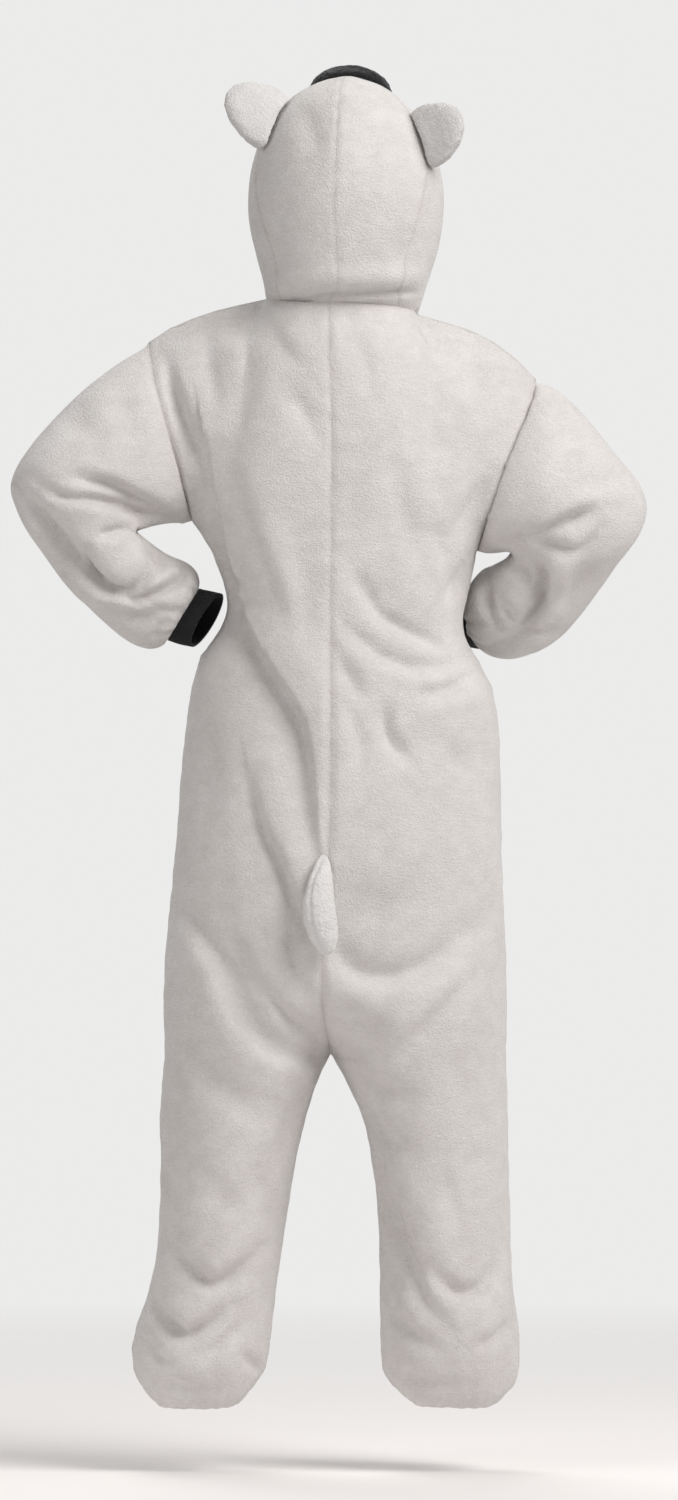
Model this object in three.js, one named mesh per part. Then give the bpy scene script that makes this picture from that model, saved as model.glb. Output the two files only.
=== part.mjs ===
// Koala onesie of plush fleece: body with legs, sleeves, rib cuffs, hood with ears and a nose, and a tail,
// in its worn shape with both cuffs at the waist. Millimetres, +Z up, the front faces -Y and +X is the
// garment's own left. The origin lies in the neck opening, level with the back of the neck seam.
import * as THREE from "three";

// Driving sizes
const clothThickness = 3;
const seamGap = 0.3;
const setInGap = 0.6;
const setInSideGap = 0.21;
const neckColumns = 7;
const shoulderColumns = 5;
const yokeRows = 8;
const sideRoundness = 0.88;
const evening = 0.45;
const hoodRows = 10;
const hoodBackColumns = 4;
const bandThickness = 2.5;
const bandRows = 18;
const buttonRadius = 11.5;
const buttonThickness = 4;
const buttonSides = 20;
const buttonLift = 0.5;
const buttonHeights = [-95, -200, -305, -410, -515, -620];
const bodyColumns = neckColumns + shoulderColumns;

// Colours
const plushColour = 0xcfcbc8;
const paleColour = 0xdedbd9;
const blackColour = 0x141414;
const buttonColour = 0x9c9894;

// Neck seam: the back and front centre points
const neckBack = [2, 75, 0];
const neckFront = [0, -82, -58];

// Shoulder seams from the neck to the tip, and both halves of each armhole from the tip to the underarm
const shoulders = {
  left: {
    sign: 1,
    neckSide: [78, 0, 8],
    seam: [[78, 0, 8], [145, 2, -8], [199, 3, -30], [219, 4, -44]],
    armholeBack: [[219, 4, -44], [211, 42, -90], [194, 64, -150], [176, 46, -222], [165, 0, -264]],
    armholeFront: [[219, 4, -44], [210, -34, -92], [190, -54, -155], [174, -40, -222], [165, 0, -264]],
  },
  right: {
    sign: -1,
    neckSide: [-104, -3, -10],
    seam: [[-104, -3, -10], [-180, -2, -34], [-226, -2, -66], [-247, -2, -88]],
    armholeBack: [[-247, -2, -88], [-236, 38, -130], [-212, 62, -185], [-188, 46, -256], [-175, 0, -298]],
    armholeFront: [[-247, -2, -88], [-234, -40, -132], [-208, -58, -190], [-186, -42, -258], [-175, 0, -298]],
  },
};

// Centre lines of the yoke, from the neck seam down to the underarm level
const yokeBackLine = [
  neckBack, [1, 98, -50], [0, 112, -105], [-1, 118, -165], [-1, 120, -220], [-1, 118, -270],
];
const yokeFrontLine = [
  neckFront, [0, -104, -96], [0, -118, -140], [0, -126, -185], [0, -128, -230], [0, -126, -270],
];

// Level sections of the body from the underarm to the crotch: half widths at the side seams and depths.
// leftZ and rightZ are the heights of the side seams where they differ, split goes from one trunk to two
// legs that touch, and seamX moves the centre back seam.
const trunkSections = [
  { z: -270, left: 165, right: 175, back: 118, front: 126, leftZ: -264, rightZ: -298, seamX: -1 },
  { z: -302, left: 142, right: 170, back: 117, front: 125, leftZ: -294, rightZ: -326, seamX: -1 },
  { z: -335, left: 130, right: 164, back: 116, front: 124, leftZ: -328, rightZ: -352 },
  { z: -365, left: 121, right: 158, back: 115, front: 123, leftZ: -360, rightZ: -377 },
  { z: -394, left: 131, right: 160, back: 116, front: 124, leftZ: -390, rightZ: -399 },
  { z: -422, left: 157, right: 177, back: 118, front: 126, leftZ: -420, rightZ: -424 },
  { z: -458, left: 168, right: 195, back: 122, front: 128 },
  { z: -505, left: 174, right: 203, back: 127, front: 130 },
  { z: -560, left: 180, right: 204, back: 133, front: 130 },
  { z: -615, left: 183, right: 205, back: 138, front: 129, seamX: 1 },
  { z: -668, left: 188, right: 206, back: 141, front: 127, seamX: 3 },
  { z: -720, left: 193, right: 208, back: 141, front: 124, seamX: 7 },
  { z: -775, left: 199, right: 211, back: 139, front: 120, split: 0.08, seamX: 10 },
  { z: -820, left: 201, right: 212, back: 136, front: 117, split: 0.34, seamX: 10 },
  { z: -855, left: 201, right: 212, back: 132, front: 115, split: 0.62, seamX: 7 },
  { z: -882, left: 200, right: 211, back: 127, front: 113, split: 0.87, seamX: 3 },
  { z: -900, left: 200, right: 211, back: 122, front: 112, split: 1 },
];

// Level sections of the legs from below the crotch to the hem, which turns in and up to its elastic
const legSections = [
  { z: -931, leftIn: 16, left: 203, rightIn: 18, right: 212, back: 116, front: 110 },
  { z: -979, leftIn: 31, left: 206, rightIn: 41, right: 214, back: 110, front: 105 },
  { z: -1030, leftIn: 42, left: 204, rightIn: 49, right: 214, back: 105, front: 101 },
  { z: -1075, leftIn: 49, left: 205, rightIn: 55, right: 216, back: 101, front: 99 },
  { z: -1115, leftIn: 55, left: 207, rightIn: 57, right: 217, back: 98, front: 96 },
  { z: -1154, leftIn: 61, left: 211, rightIn: 58, right: 217, back: 95, front: 93 },
  { z: -1190, leftIn: 66, left: 221, rightIn: 58, right: 221, back: 94, front: 92 },
  { z: -1222, leftIn: 70, left: 233, rightIn: 59, right: 226, back: 95, front: 93 },
  { z: -1250, leftIn: 72, left: 240, rightIn: 59, right: 228, back: 94, front: 92 },
  { z: -1278, leftIn: 78, left: 238, rightIn: 61, right: 227, back: 88, front: 86 },
  { z: -1301, leftIn: 91, left: 228, rightIn: 73, right: 221, back: 76, front: 75 },
  { z: -1318, leftIn: 106, left: 212, rightIn: 92, right: 205, back: 60, front: 59 },
  { z: -1309, leftIn: 112, left: 206, rightIn: 99, right: 198, back: 50, front: 49 },
];

// Rings of the sleeves: outer and inner point of each ring seen from behind, the depth of its centre and
// its half depth. The first ring comes from the armhole, and blend is how far a ring has left its shape.
const sleeveRings = {
  left: [
    { outX: 262, outZ: -77, inX: 180, inZ: -262, y: 12, half: 70, blend: 0.55 },
    { outX: 301, outZ: -108, inX: 199, inZ: -263, y: 20, half: 74, blend: 0.95 },
    { outX: 354, outZ: -162, inX: 220, inZ: -267, y: 32, half: 73 },
    { outX: 379, outZ: -201, inX: 231, inZ: -269, y: 40, half: 71 },
    { outX: 383, outZ: -229, inX: 234, inZ: -272, y: 42, half: 69 },
    { outX: 367, outZ: -262, inX: 231, inZ: -276, y: 40, half: 66 },
    { outX: 337, outZ: -302, inX: 223, inZ: -281, y: 34, half: 61 },
    { outX: 303, outZ: -347, inX: 209, inZ: -290, y: 27, half: 57 },
    { outX: 270, outZ: -380, inX: 193, inZ: -301, y: 20, half: 55 },
    { outX: 240, outZ: -404, inX: 174, inZ: -309, y: 15, half: 53 },
    { outX: 214, outZ: -411, inX: 161, inZ: -323, y: 11, half: 46 },
    { outX: 195, outZ: -403, inX: 157, inZ: -340, y: 9, half: 31 },
  ],
  right: [
    { outX: -268, outZ: -100, inX: -184, inZ: -298, y: 2, half: 70, blend: 0.55 },
    { outX: -294, outZ: -121, inX: -194, inZ: -298, y: 6, half: 74, blend: 0.95 },
    { outX: -332, outZ: -168, inX: -206, inZ: -296, y: 12, half: 73 },
    { outX: -364, outZ: -205, inX: -215, inZ: -297, y: 14, half: 71 },
    { outX: -379, outZ: -241, inX: -218, inZ: -300, y: 11, half: 69 },
    { outX: -368, outZ: -271, inX: -216, inZ: -304, y: 4, half: 66 },
    { outX: -344, outZ: -307, inX: -211, inZ: -308, y: -6, half: 61 },
    { outX: -318, outZ: -347, inX: -204, inZ: -311, y: -18, half: 57 },
    { outX: -286, outZ: -388, inX: -195, inZ: -313, y: -30, half: 54 },
    { outX: -250, outZ: -415, inX: -184, inZ: -318, y: -44, half: 51 },
    { outX: -213, outZ: -424, inX: -176, inZ: -331, y: -58, half: 44 },
    { outX: -193, outZ: -413, inX: -179, inZ: -350, y: -70, half: 30 },
  ],
};

// Rings of the rib cuffs after the sleeve seam
const cuffRings = {
  left: [
    { outX: 181, outZ: -407, inX: 143, inZ: -344, y: 11, half: 31 },
    { outX: 166, outZ: -410, inX: 130, inZ: -347, y: 15, half: 31 },
  ],
  right: [
    { outX: -181, outZ: -411, inX: -169, inZ: -352, y: -86, half: 29 },
    { outX: -167, outZ: -408, inX: -157, inZ: -354, y: -102, half: 28 },
  ],
};

// Hood: a rounded form about its widest level, turned a little to the garment's right
const hood = {
  centreX: -18,
  turn: -6 * Math.PI / 180,
  wideZ: 118,
  topZ: 276,
  half: 119,
  back: 122,
  front: 128,
  baseZ: 11,
  baseShrink: 0.22,
  baseCurve: 1.6,
};
const crown = [0, 4, 275.9];
const browY = -104;
const archLine = [[62, 14], [74, 60], [71, 100], [49, 160], [24, 225], [10, 262]];
const centreBackHeights = [12, 60, 118, 170, 215];
const centreCrownHeights = [215, 240, 260, 272];
const faceEdge = [[46, -96, -26], [74, -94, 40], [80, -95, 110], [62, -101, 172]];

// Stuffed ears: ends of the seam on the hood (x, z), the way they point out (x, z), height, half width, lean
// along the seam and backward tilt in radians
const ears = {
  left: {
    low: [83, 180], high: [46, 247], outX: 0.88, outZ: 0.48, tall: 74, half: 41, lean: 6, tilt: 0.08,
  },
  right: {
    low: [-113, 150], high: [-85, 221], outX: -0.99, outZ: 0.08, tall: 74, half: 39, lean: -2, tilt: 0.72,
  },
};
const earThickness = 13;
const earRim = 1.6;
const earLeastRise = 5;
const earBaseShare = 0.93;
const earSpread = 0.1;
const earRoundness = 0.75;
const earLift = 0.6;
const earColumns = 8;
const earRows = 5;

// Stuffed nose on the brow of the hood. slopeY and slopeZ point at its middle from the hood's middle.
const nose = {
  slopeY: -50, slopeZ: 113.8, halfWide: 51, halfTall: 44,
  thickness: 19, rim: 3, lift: 0.5, roundness: 2.2, cells: 8,
};

// Stuffed tail: level sections, the seam between its halves is turned by seamTurn from the side
const tailSections = [
  { x: 8, z: -657, y: 141.7, half: 4, depth: 3 },
  { x: 9, z: -668, y: 147.3, half: 10, depth: 7 },
  { x: 12, z: -690, y: 160, half: 16, depth: 13 },
  { x: 14, z: -714, y: 164, half: 20, depth: 16 },
  { x: 12, z: -738, y: 164, half: 21, depth: 17 },
  { x: 8, z: -758, y: 162, half: 18, depth: 15 },
  { x: 5, z: -773, y: 160, half: 10, depth: 9 },
  { x: 5, z: -779, y: 159, half: 3, depth: 3 },
];
const tailSeamTurn = 1.05;
const tailRimGap = 0.75;
const tailColumns = 7;

// Largest folds, each along a bent line seen from behind or from the front. lip is the cloth raised
// beside the trough, on the right of the line when it is positive.
const bodyFolds = [
  { face: "back", from: [154, -167], via: [119, -305], to: [62, -444], depth: 7, width: 30, lip: -7 },
  { face: "back", from: [62, -444], via: [26, -530], to: [11, -661], depth: 7, width: 26, lip: -4 },
  { face: "back", from: [98, -560], via: [86, -617], to: [68, -653], depth: 4, width: 26, lip: 0 },
  { face: "back", from: [121, -797], via: [86, -866], to: [10, -900], depth: 9, width: 24, lip: 4 },
  { face: "back", from: [85, -618], via: [55, -718], to: [28, -827], depth: 5, width: 24, lip: -3 },
  { face: "back", from: [-58, -354], via: [-90, -392], to: [-138, -422], depth: 6, width: 26, lip: -3 },
  { face: "back", from: [-64, -444], via: [-70, -503], to: [-100, -540], depth: 5, width: 26, lip: 3 },
  { face: "back", from: [-6, -773], via: [-60, -802], to: [-140, -787], depth: 7, width: 24, lip: 3 },
  { face: "back", from: [66, -41], via: [48, -90], to: [17, -167], depth: 4, width: 28, lip: 0 },
  { face: "back", from: [190, -96], via: [178, -145], to: [157, -200], depth: 6, width: 26, lip: 0 },
  { face: "back", from: [-214, -150], via: [-190, -215], to: [-170, -280], depth: 5, width: 26, lip: 0 },
  { face: "back", from: [190, -1120], via: [140, -1172], to: [85, -1130], depth: 7, width: 24, lip: -4 },
  { face: "back", from: [214, -1186], via: [170, -1240], to: [112, -1200], depth: 9, width: 22, lip: -5 },
  { face: "back", from: [-40, -968], via: [-72, -1090], to: [-140, -1228], depth: 7, width: 26, lip: -4 },
  { face: "back", from: [-118, -1154], via: [-167, -1184], to: [-210, -1130], depth: 6, width: 24, lip: 3 },
  { face: "front", from: [-150, -190], via: [-110, -310], to: [-50, -440], depth: 6, width: 30, lip: 5 },
  { face: "front", from: [140, -230], via: [100, -330], to: [60, -420], depth: 6, width: 28, lip: -5 },
  { face: "front", from: [-150, -430], via: [-90, -470], to: [-40, -540], depth: 5, width: 28, lip: 3 },
  { face: "front", from: [130, -470], via: [80, -530], to: [45, -620], depth: 5, width: 28, lip: -3 },
  { face: "front", from: [-150, -760], via: [-80, -830], to: [-10, -880], depth: 7, width: 26, lip: 3 },
  { face: "front", from: [150, -740], via: [80, -820], to: [12, -870], depth: 7, width: 26, lip: -3 },
  { face: "front", from: [190, -1090], via: [140, -1135], to: [80, -1100], depth: 6, width: 26, lip: -3 },
  { face: "front", from: [215, -1195], via: [160, -1245], to: [95, -1210], depth: 8, width: 22, lip: -4 },
  { face: "front", from: [-200, -1080], via: [-150, -1125], to: [-80, -1085], depth: 6, width: 26, lip: 3 },
  { face: "front", from: [-215, -1200], via: [-150, -1250], to: [-80, -1205], depth: 8, width: 22, lip: 4 },
];
const sleeveFolds = [
  { face: "back", from: [306, -205], via: [262, -228], to: [200, -252], depth: 6, width: 18, lip: 3 },
  { face: "back", from: [352, -225], via: [290, -242], to: [225, -250], depth: 7, width: 16, lip: -4 },
  { face: "back", from: [368, -236], via: [337, -275], to: [300, -322], depth: 8, width: 18, lip: 4 },
  { face: "back", from: [262, -350], via: [222, -352], to: [178, -318], depth: 6, width: 18, lip: -3 },
  { face: "back", from: [-326, -245], via: [-288, -262], to: [-235, -276], depth: 7, width: 18, lip: 4 },
  { face: "back", from: [-246, -305], via: [-254, -345], to: [-228, -392], depth: 7, width: 18, lip: -5 },
  { face: "back", from: [-196, -330], via: [-198, -360], to: [-208, -392], depth: 5, width: 14, lip: 0 },
  { face: "front", from: [320, -215], via: [275, -236], to: [210, -250], depth: 7, width: 20, lip: 3 },
  { face: "front", from: [350, -245], via: [300, -290], to: [255, -330], depth: 6, width: 20, lip: 3 },
  { face: "front", from: [-330, -240], via: [-285, -266], to: [-225, -285], depth: 7, width: 20, lip: 3 },
  { face: "front", from: [-320, -290], via: [-275, -330], to: [-235, -350], depth: 6, width: 20, lip: -3 },
];

// Small vector helpers
const vector = ([x, y, z]) => new THREE.Vector3(x, y, z);
const mix = (a, b, amount) => a.clone().lerp(b, amount);
const smooth = (low, high, value) => THREE.MathUtils.smoothstep(value, low, high);

// Evenly spaced points along a smooth curve through the given points
function spaced(points, segments) {
  const curve = new THREE.CatmullRomCurve3(points, false, "centripetal");
  curve.arcLengthDivisions = 400;
  return curve.getSpacedPoints(segments);
}

// A quarter of the neck seam from its centre point to the side of the neck
function neckQuarter(centre, side) {
  const points = [];
  for (let i = 0; i <= neckColumns; i++) {
    const angle = (i / neckColumns) * Math.PI / 2;
    const x = centre[0] + (side[0] - centre[0]) * Math.sin(angle);
    const y = side[1] + (centre[1] - side[1]) * Math.cos(angle);
    const z = centre[2] + (side[2] - centre[2]) * (1 - Math.cos(angle));
    points.push(new THREE.Vector3(x, y, z));
  }
  return points;
}

// One level section of a quarter of the trunk or of half a leg, from its inner to its outer seam
function sectionRow(section, sideName, face) {
  const sign = shoulders[sideName].sign;
  const outer = section[sideName];
  const inner = section[`${sideName}In`] ?? 0;
  const isLeg = inner > 0;
  const split = isLeg ? 1 : section.split ?? 0;
  const half = isLeg ? (outer - inner) / 2 : outer / (1 + split);
  const centre = isLeg ? (outer + inner) / 2 : split * half;
  const startAngle = Math.acos(-split);
  const depth = face === "back" ? section.back : -section.front;
  const seamShift = face === "back" ? section.seamX ?? 0 : 0;
  const sideZ = section[`${sideName}Z`] ?? section.z;
  const points = [];
  for (let i = 0; i <= bodyColumns; i++) {
    const across = i / bodyColumns;
    const angle = startAngle * (1 - across);
    const x = sign * (centre + half * Math.cos(angle)) + seamShift * (1 - across) ** 2;
    const y = depth * Math.max(Math.sin(angle), 0) ** sideRoundness;
    const z = section.z + (sideZ - section.z) * (1 - Math.cos(Math.PI * across)) / 2;
    points.push(new THREE.Vector3(x, y, z));
  }
  return points;
}

// Rows of points that fill the space inside four edges
function fillPatch(bottom, top, first, last) {
  const rowCount = first.length - 1;
  const columnCount = bottom.length - 1;
  const rows = [];
  for (let i = 0; i <= rowCount; i++) {
    const up = i / rowCount;
    const row = [];
    for (let j = 0; j <= columnCount; j++) {
      const across = j / columnCount;
      const along = mix(bottom[j], top[j], up);
      const over = mix(first[i], last[i], across);
      const bottomCorners = mix(bottom[0], bottom[columnCount], across);
      const topCorners = mix(top[0], top[columnCount], across);
      row.push(along.add(over).sub(mix(bottomCorners, topCorners, up)));
    }
    rows.push(row);
  }
  return rows;
}

// Evens out the inner points of a sheet and keeps its edges
function relax(rows, times) {
  let current = rows;
  for (let pass = 0; pass < times; pass++) {
    const last = current;
    current = last.map((row, i) => row.map((point, j) => {
      const isEdge = i === 0 || j === 0 || i === last.length - 1 || j === row.length - 1;
      if (isEdge) {
        return point;
      }
      const across = mix(row[j - 1], row[j + 1], 0.5);
      const down = mix(last[i - 1][j], last[i + 1][j], 0.5);
      return mix(point, mix(across, down, 0.5), evening);
    }));
  }
  return current;
}

function bodyPanel(sideName, face) {
  const shoulder = shoulders[sideName];
  const neckCentre = face === "back" ? neckBack : neckFront;
  const centreLine = face === "back" ? yokeBackLine : yokeFrontLine;
  const armhole = face === "back" ? shoulder.armholeBack : shoulder.armholeFront;
  const neck = neckQuarter(neckCentre, shoulder.neckSide);
  const seam = spaced(shoulder.seam.map(vector), shoulderColumns);
  const top = neck.concat(seam.slice(1));
  const bottom = sectionRow(trunkSections[0], sideName, face);
  const centre = spaced(centreLine.map(vector), yokeRows);
  const outer = spaced(armhole.map(vector), yokeRows);
  const yoke = fillPatch(top, bottom, centre, outer);
  const trunk = trunkSections.slice(1).map((section) => sectionRow(section, sideName, face));
  const leg = legSections.map((section) => sectionRow(section, sideName, face));
  return relax(yoke.concat(trunk, leg), 2);
}

// Ring 0 lies at the inner seam, the ring then runs round the back to the outer point and home by the front
function ringPoints(ring, along, count) {
  const outer = new THREE.Vector3(ring.outX, ring.y, ring.outZ);
  const inner = new THREE.Vector3(ring.inX, ring.y, ring.inZ);
  const centre = mix(outer, inner, 0.5);
  const axis = outer.clone().sub(inner).divideScalar(2);
  const backward = along.clone().cross(axis).normalize();
  if (backward.y < 0) {
    backward.negate();
  }
  const points = [];
  for (let i = 0; i < count; i++) {
    const angle = (i / count) * 2 * Math.PI;
    const point = centre.clone();
    point.addScaledVector(axis, -Math.cos(angle));
    point.addScaledVector(backward, ring.half * Math.sin(angle));
    points.push(point);
  }
  return points;
}

function ringCentre(ring) {
  return new THREE.Vector3((ring.outX + ring.inX) / 2, ring.y, (ring.outZ + ring.inZ) / 2);
}

// Tube rows through rings that follow each other
function ringRows(rings, count, firstBefore) {
  const centres = rings.map(ringCentre);
  return rings.map((ring, i) => {
    const before = i > 0 ? centres[i - 1] : firstBefore;
    const after = centres[Math.min(i + 1, centres.length - 1)];
    const along = after.clone().sub(before).normalize();
    return ringPoints(ring, along, count);
  });
}

// All rows of a sleeve and its cuff, from the armhole to its end
function sleeveAndCuff(sideName) {
  const shoulder = shoulders[sideName];
  const back = spaced(shoulder.armholeBack.map(vector), yokeRows).reverse();
  const front = spaced(shoulder.armholeFront.map(vector), yokeRows);
  const armhole = back.concat(front.slice(1, -1));
  const middle = mix(back[0], back[back.length - 1], 0.5);
  const rings = sleeveRings[sideName].concat(cuffRings[sideName]);
  const rows = ringRows(rings, armhole.length, middle);
  const eased = rows.map((row, i) => row.map((point, j) => mix(armhole[j], point, rings[i].blend ?? 1)));
  return [armhole].concat(eased);
}

function sleeveTube(sideName) {
  return sleeveAndCuff(sideName).slice(0, sleeveRings[sideName].length + 1);
}

function cuffTube(sideName) {
  return sleeveAndCuff(sideName).slice(sleeveRings[sideName].length);
}

// The hood's own frame is turned about the upright line through its centre
function toHood(point) {
  const moved = point.clone();
  moved.x -= hood.centreX;
  return moved.applyAxisAngle(new THREE.Vector3(0, 0, 1), -hood.turn);
}

function fromHood(point) {
  const moved = point.clone().applyAxisAngle(new THREE.Vector3(0, 0, 1), hood.turn);
  moved.x += hood.centreX;
  return moved;
}

// Share of the widest section that is left at a height
function hoodShare(z) {
  if (z >= hood.wideZ) {
    const rise = Math.min((z - hood.wideZ) / (hood.topZ - hood.wideZ), 1);
    return Math.sqrt(Math.max(1 - rise * rise, 0));
  }
  const fall = (hood.wideZ - z) / (hood.wideZ - hood.baseZ);
  return 1 - hood.baseShrink * fall ** hood.baseCurve;
}

// Side reach of the form at a depth and height
function hoodSide(y, z) {
  const share = hoodShare(z);
  const depth = (y > 0 ? hood.back : hood.front) * share;
  return hood.half * share * Math.sqrt(Math.max(1 - (y / depth) ** 2, 0));
}

// Moves a point along the line from the hood's middle until it lies on the form
function ontoHood(point) {
  const centre = new THREE.Vector3(0, 0, hood.wideZ);
  const ray = point.clone().sub(centre);
  let low = 0;
  let high = 4;
  for (let pass = 0; pass < 40; pass++) {
    const middle = (low + high) / 2;
    const trial = centre.clone().addScaledVector(ray, middle);
    const share = Math.max(hoodShare(trial.z), 0.001);
    const depth = (trial.y > 0 ? hood.back : hood.front) * share;
    const reach = Math.hypot(trial.x / (hood.half * share), trial.y / depth);
    if (reach < 1 && trial.z < hood.topZ) {
      low = middle;
    } else {
      high = middle;
    }
  }
  return centre.addScaledVector(ray, low);
}

function centreHoodPoint(z) {
  return new THREE.Vector3(0, hood.back * hoodShare(z), z);
}

// The seam over the hood from its foot on the neck seam to the crown
function archSeam(sign, foot) {
  const line = archLine.map(([y, z]) => new THREE.Vector3(sign * hoodSide(y, z), y, z));
  return spaced([foot].concat(line, [vector(crown)]), hoodRows);
}

function hoodNeck(sideName, face) {
  const centre = face === "back" ? neckBack : neckFront;
  return neckQuarter(centre, shoulders[sideName].neckSide).map(toHood);
}

// Rounds a patch of the hood: its rows leave the neck seam and reach the form after the first row
function roundHood(rows, keepLastColumn) {
  return rows.map((row, i) => row.map((point, j) => {
    const isEdge = i === 0 || j === 0 || i === rows.length - 1 || j === row.length - 1;
    if (isEdge) {
      return point;
    }
    const nearFace = keepLastColumn ? smooth(0, 3, row.length - 1 - j) : 1;
    const amount = smooth(0, 2, i) * nearFace;
    return mix(point, ontoHood(point), amount);
  }));
}

function hoodBackPanel(sideName) {
  const sign = shoulders[sideName].sign;
  const neck = hoodNeck(sideName, "back").slice(0, hoodBackColumns + 1);
  const arch = archSeam(sign, neck[hoodBackColumns]);
  const centre = spaced([neck[0]].concat(centreBackHeights.map(centreHoodPoint)), hoodRows);
  const top = spaced(centreCrownHeights.map(centreHoodPoint).concat([vector(crown)]), hoodBackColumns);
  const rows = fillPatch(neck, top, centre, arch);
  return relax(roundHood(rows, false), 1).map((row) => row.map(fromHood));
}

function hoodFrontPanel(sideName) {
  const sign = shoulders[sideName].sign;
  const back = hoodNeck(sideName, "back");
  const front = hoodNeck(sideName, "front").reverse();
  const neck = back.slice(hoodBackColumns).concat(front.slice(1));
  const arch = archSeam(sign, neck[0]);
  const brow = [];
  for (let i = 0; i <= 8; i++) {
    const y = THREE.MathUtils.lerp(crown[1], browY, i / 8);
    const depth = y > 0 ? hood.back : hood.front;
    const z = hood.wideZ + (hood.topZ - hood.wideZ) * Math.sqrt(1 - (y / depth) ** 2);
    brow.push(i === 0 ? vector(crown) : new THREE.Vector3(0, y, z));
  }
  const top = spaced(brow, neck.length - 1);
  const edge = faceEdge.map(([x, y, z]) => new THREE.Vector3(sign * x, y, z));
  const face = spaced([neck[neck.length - 1]].concat(edge, [top[top.length - 1]]), hoodRows);
  const rows = fillPatch(neck, top, arch, face);
  return relax(roundHood(rows, true), 1).map((row) => row.map(fromHood));
}

// Signed distance to a bent line in the XZ plane, and the share of the line's length at the foot
function lineDistance(point, fold) {
  let best = { distance: Infinity, side: 1, share: 0 };
  const knots = [fold.from, fold.via, fold.to];
  for (let i = 0; i < 2; i++) {
    const [x0, z0] = knots[i];
    const [x1, z1] = knots[i + 1];
    const dx = x1 - x0;
    const dz = z1 - z0;
    const raw = ((point.x - x0) * dx + (point.z - z0) * dz) / (dx * dx + dz * dz);
    const t = THREE.MathUtils.clamp(raw, 0, 1);
    const distance = Math.hypot(point.x - x0 - t * dx, point.z - z0 - t * dz);
    if (distance < best.distance) {
      const side = Math.sign(dx * (point.z - z0) - dz * (point.x - x0)) || 1;
      best = { distance, side, share: (i + t) / 2 };
    }
  }
  return best;
}

// How far the folds move a point along its normal
function foldHeight(point, normal, folds) {
  let height = 0;
  for (const fold of folds) {
    const facing = fold.face === "back" ? normal.y : -normal.y;
    const { distance, side, share } = lineDistance(point, fold);
    const ends = Math.sin(Math.PI * THREE.MathUtils.clamp(share, 0.12, 0.88));
    const weight = smooth(0.05, 0.5, facing) * ends;
    const offset = distance * side * Math.sign(fold.lip || 1) / fold.width;
    height -= fold.depth * weight * Math.exp(-(offset ** 2));
    height += Math.abs(fold.lip) * weight * Math.exp(-((offset - 1.3) ** 2));
  }
  return height;
}

// Sheets are joined at points they share, so their normals there are shared too
const pointKey = (point) => point.toArray().map((value) => Math.round(value * 20)).join(" ");

// A point inside the garment level with a row: the middle of a tube, of the trunk, of a leg or of the hood
const insideDrop = 30;

function middleOf(sheet, row) {
  if (sheet.closed) {
    const sum = row.reduce((total, point) => total.add(point), new THREE.Vector3());
    return sum.divideScalar(row.length);
  }
  const first = row[0];
  const last = row[row.length - 1];
  if (sheet.name.startsWith("hood")) {
    return new THREE.Vector3(hood.centreX, 0, hood.wideZ);
  }
  return new THREE.Vector3((first.x + last.x) / 2, 0, first.z - insideDrop);
}

function isTurned(sheet) {
  let sum = 0;
  const { rows, closed } = sheet;
  for (let i = 0; i < rows.length - 1; i++) {
    const middle = middleOf(sheet, rows[i]);
    const columnCount = closed ? rows[0].length : rows[0].length - 1;
    for (let j = 0; j < columnCount; j++) {
      const corner = rows[i][j];
      const side = rows[i][(j + 1) % rows[0].length].clone().sub(corner);
      const down = rows[i + 1][j].clone().sub(corner);
      sum += side.cross(down).dot(corner.clone().sub(middle));
    }
  }
  return sum < 0;
}

function sharedNormals(sheets) {
  const sums = new Map();
  for (const sheet of sheets) {
    const { rows, closed } = sheet;
    const flip = isTurned(sheet);
    const columnCount = closed ? rows[0].length : rows[0].length - 1;
    for (let i = 0; i < rows.length - 1; i++) {
      for (let j = 0; j < columnCount; j++) {
        const next = (j + 1) % rows[0].length;
        const corners = [rows[i][j], rows[i][next], rows[i + 1][next], rows[i + 1][j]];
        const across = corners[2].clone().sub(corners[0]);
        const normal = across.cross(corners[3].clone().sub(corners[1]));
        normal.multiplyScalar(flip ? -1 : 1);
        normal.divideScalar(Math.sqrt(normal.length()) + 0.001);
        for (const corner of corners) {
          const key = pointKey(corner);
          sums.set(key, (sums.get(key) ?? new THREE.Vector3()).add(normal));
        }
      }
    }
  }
  return (point) => sums.get(pointKey(point)).clone().normalize();
}

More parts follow.
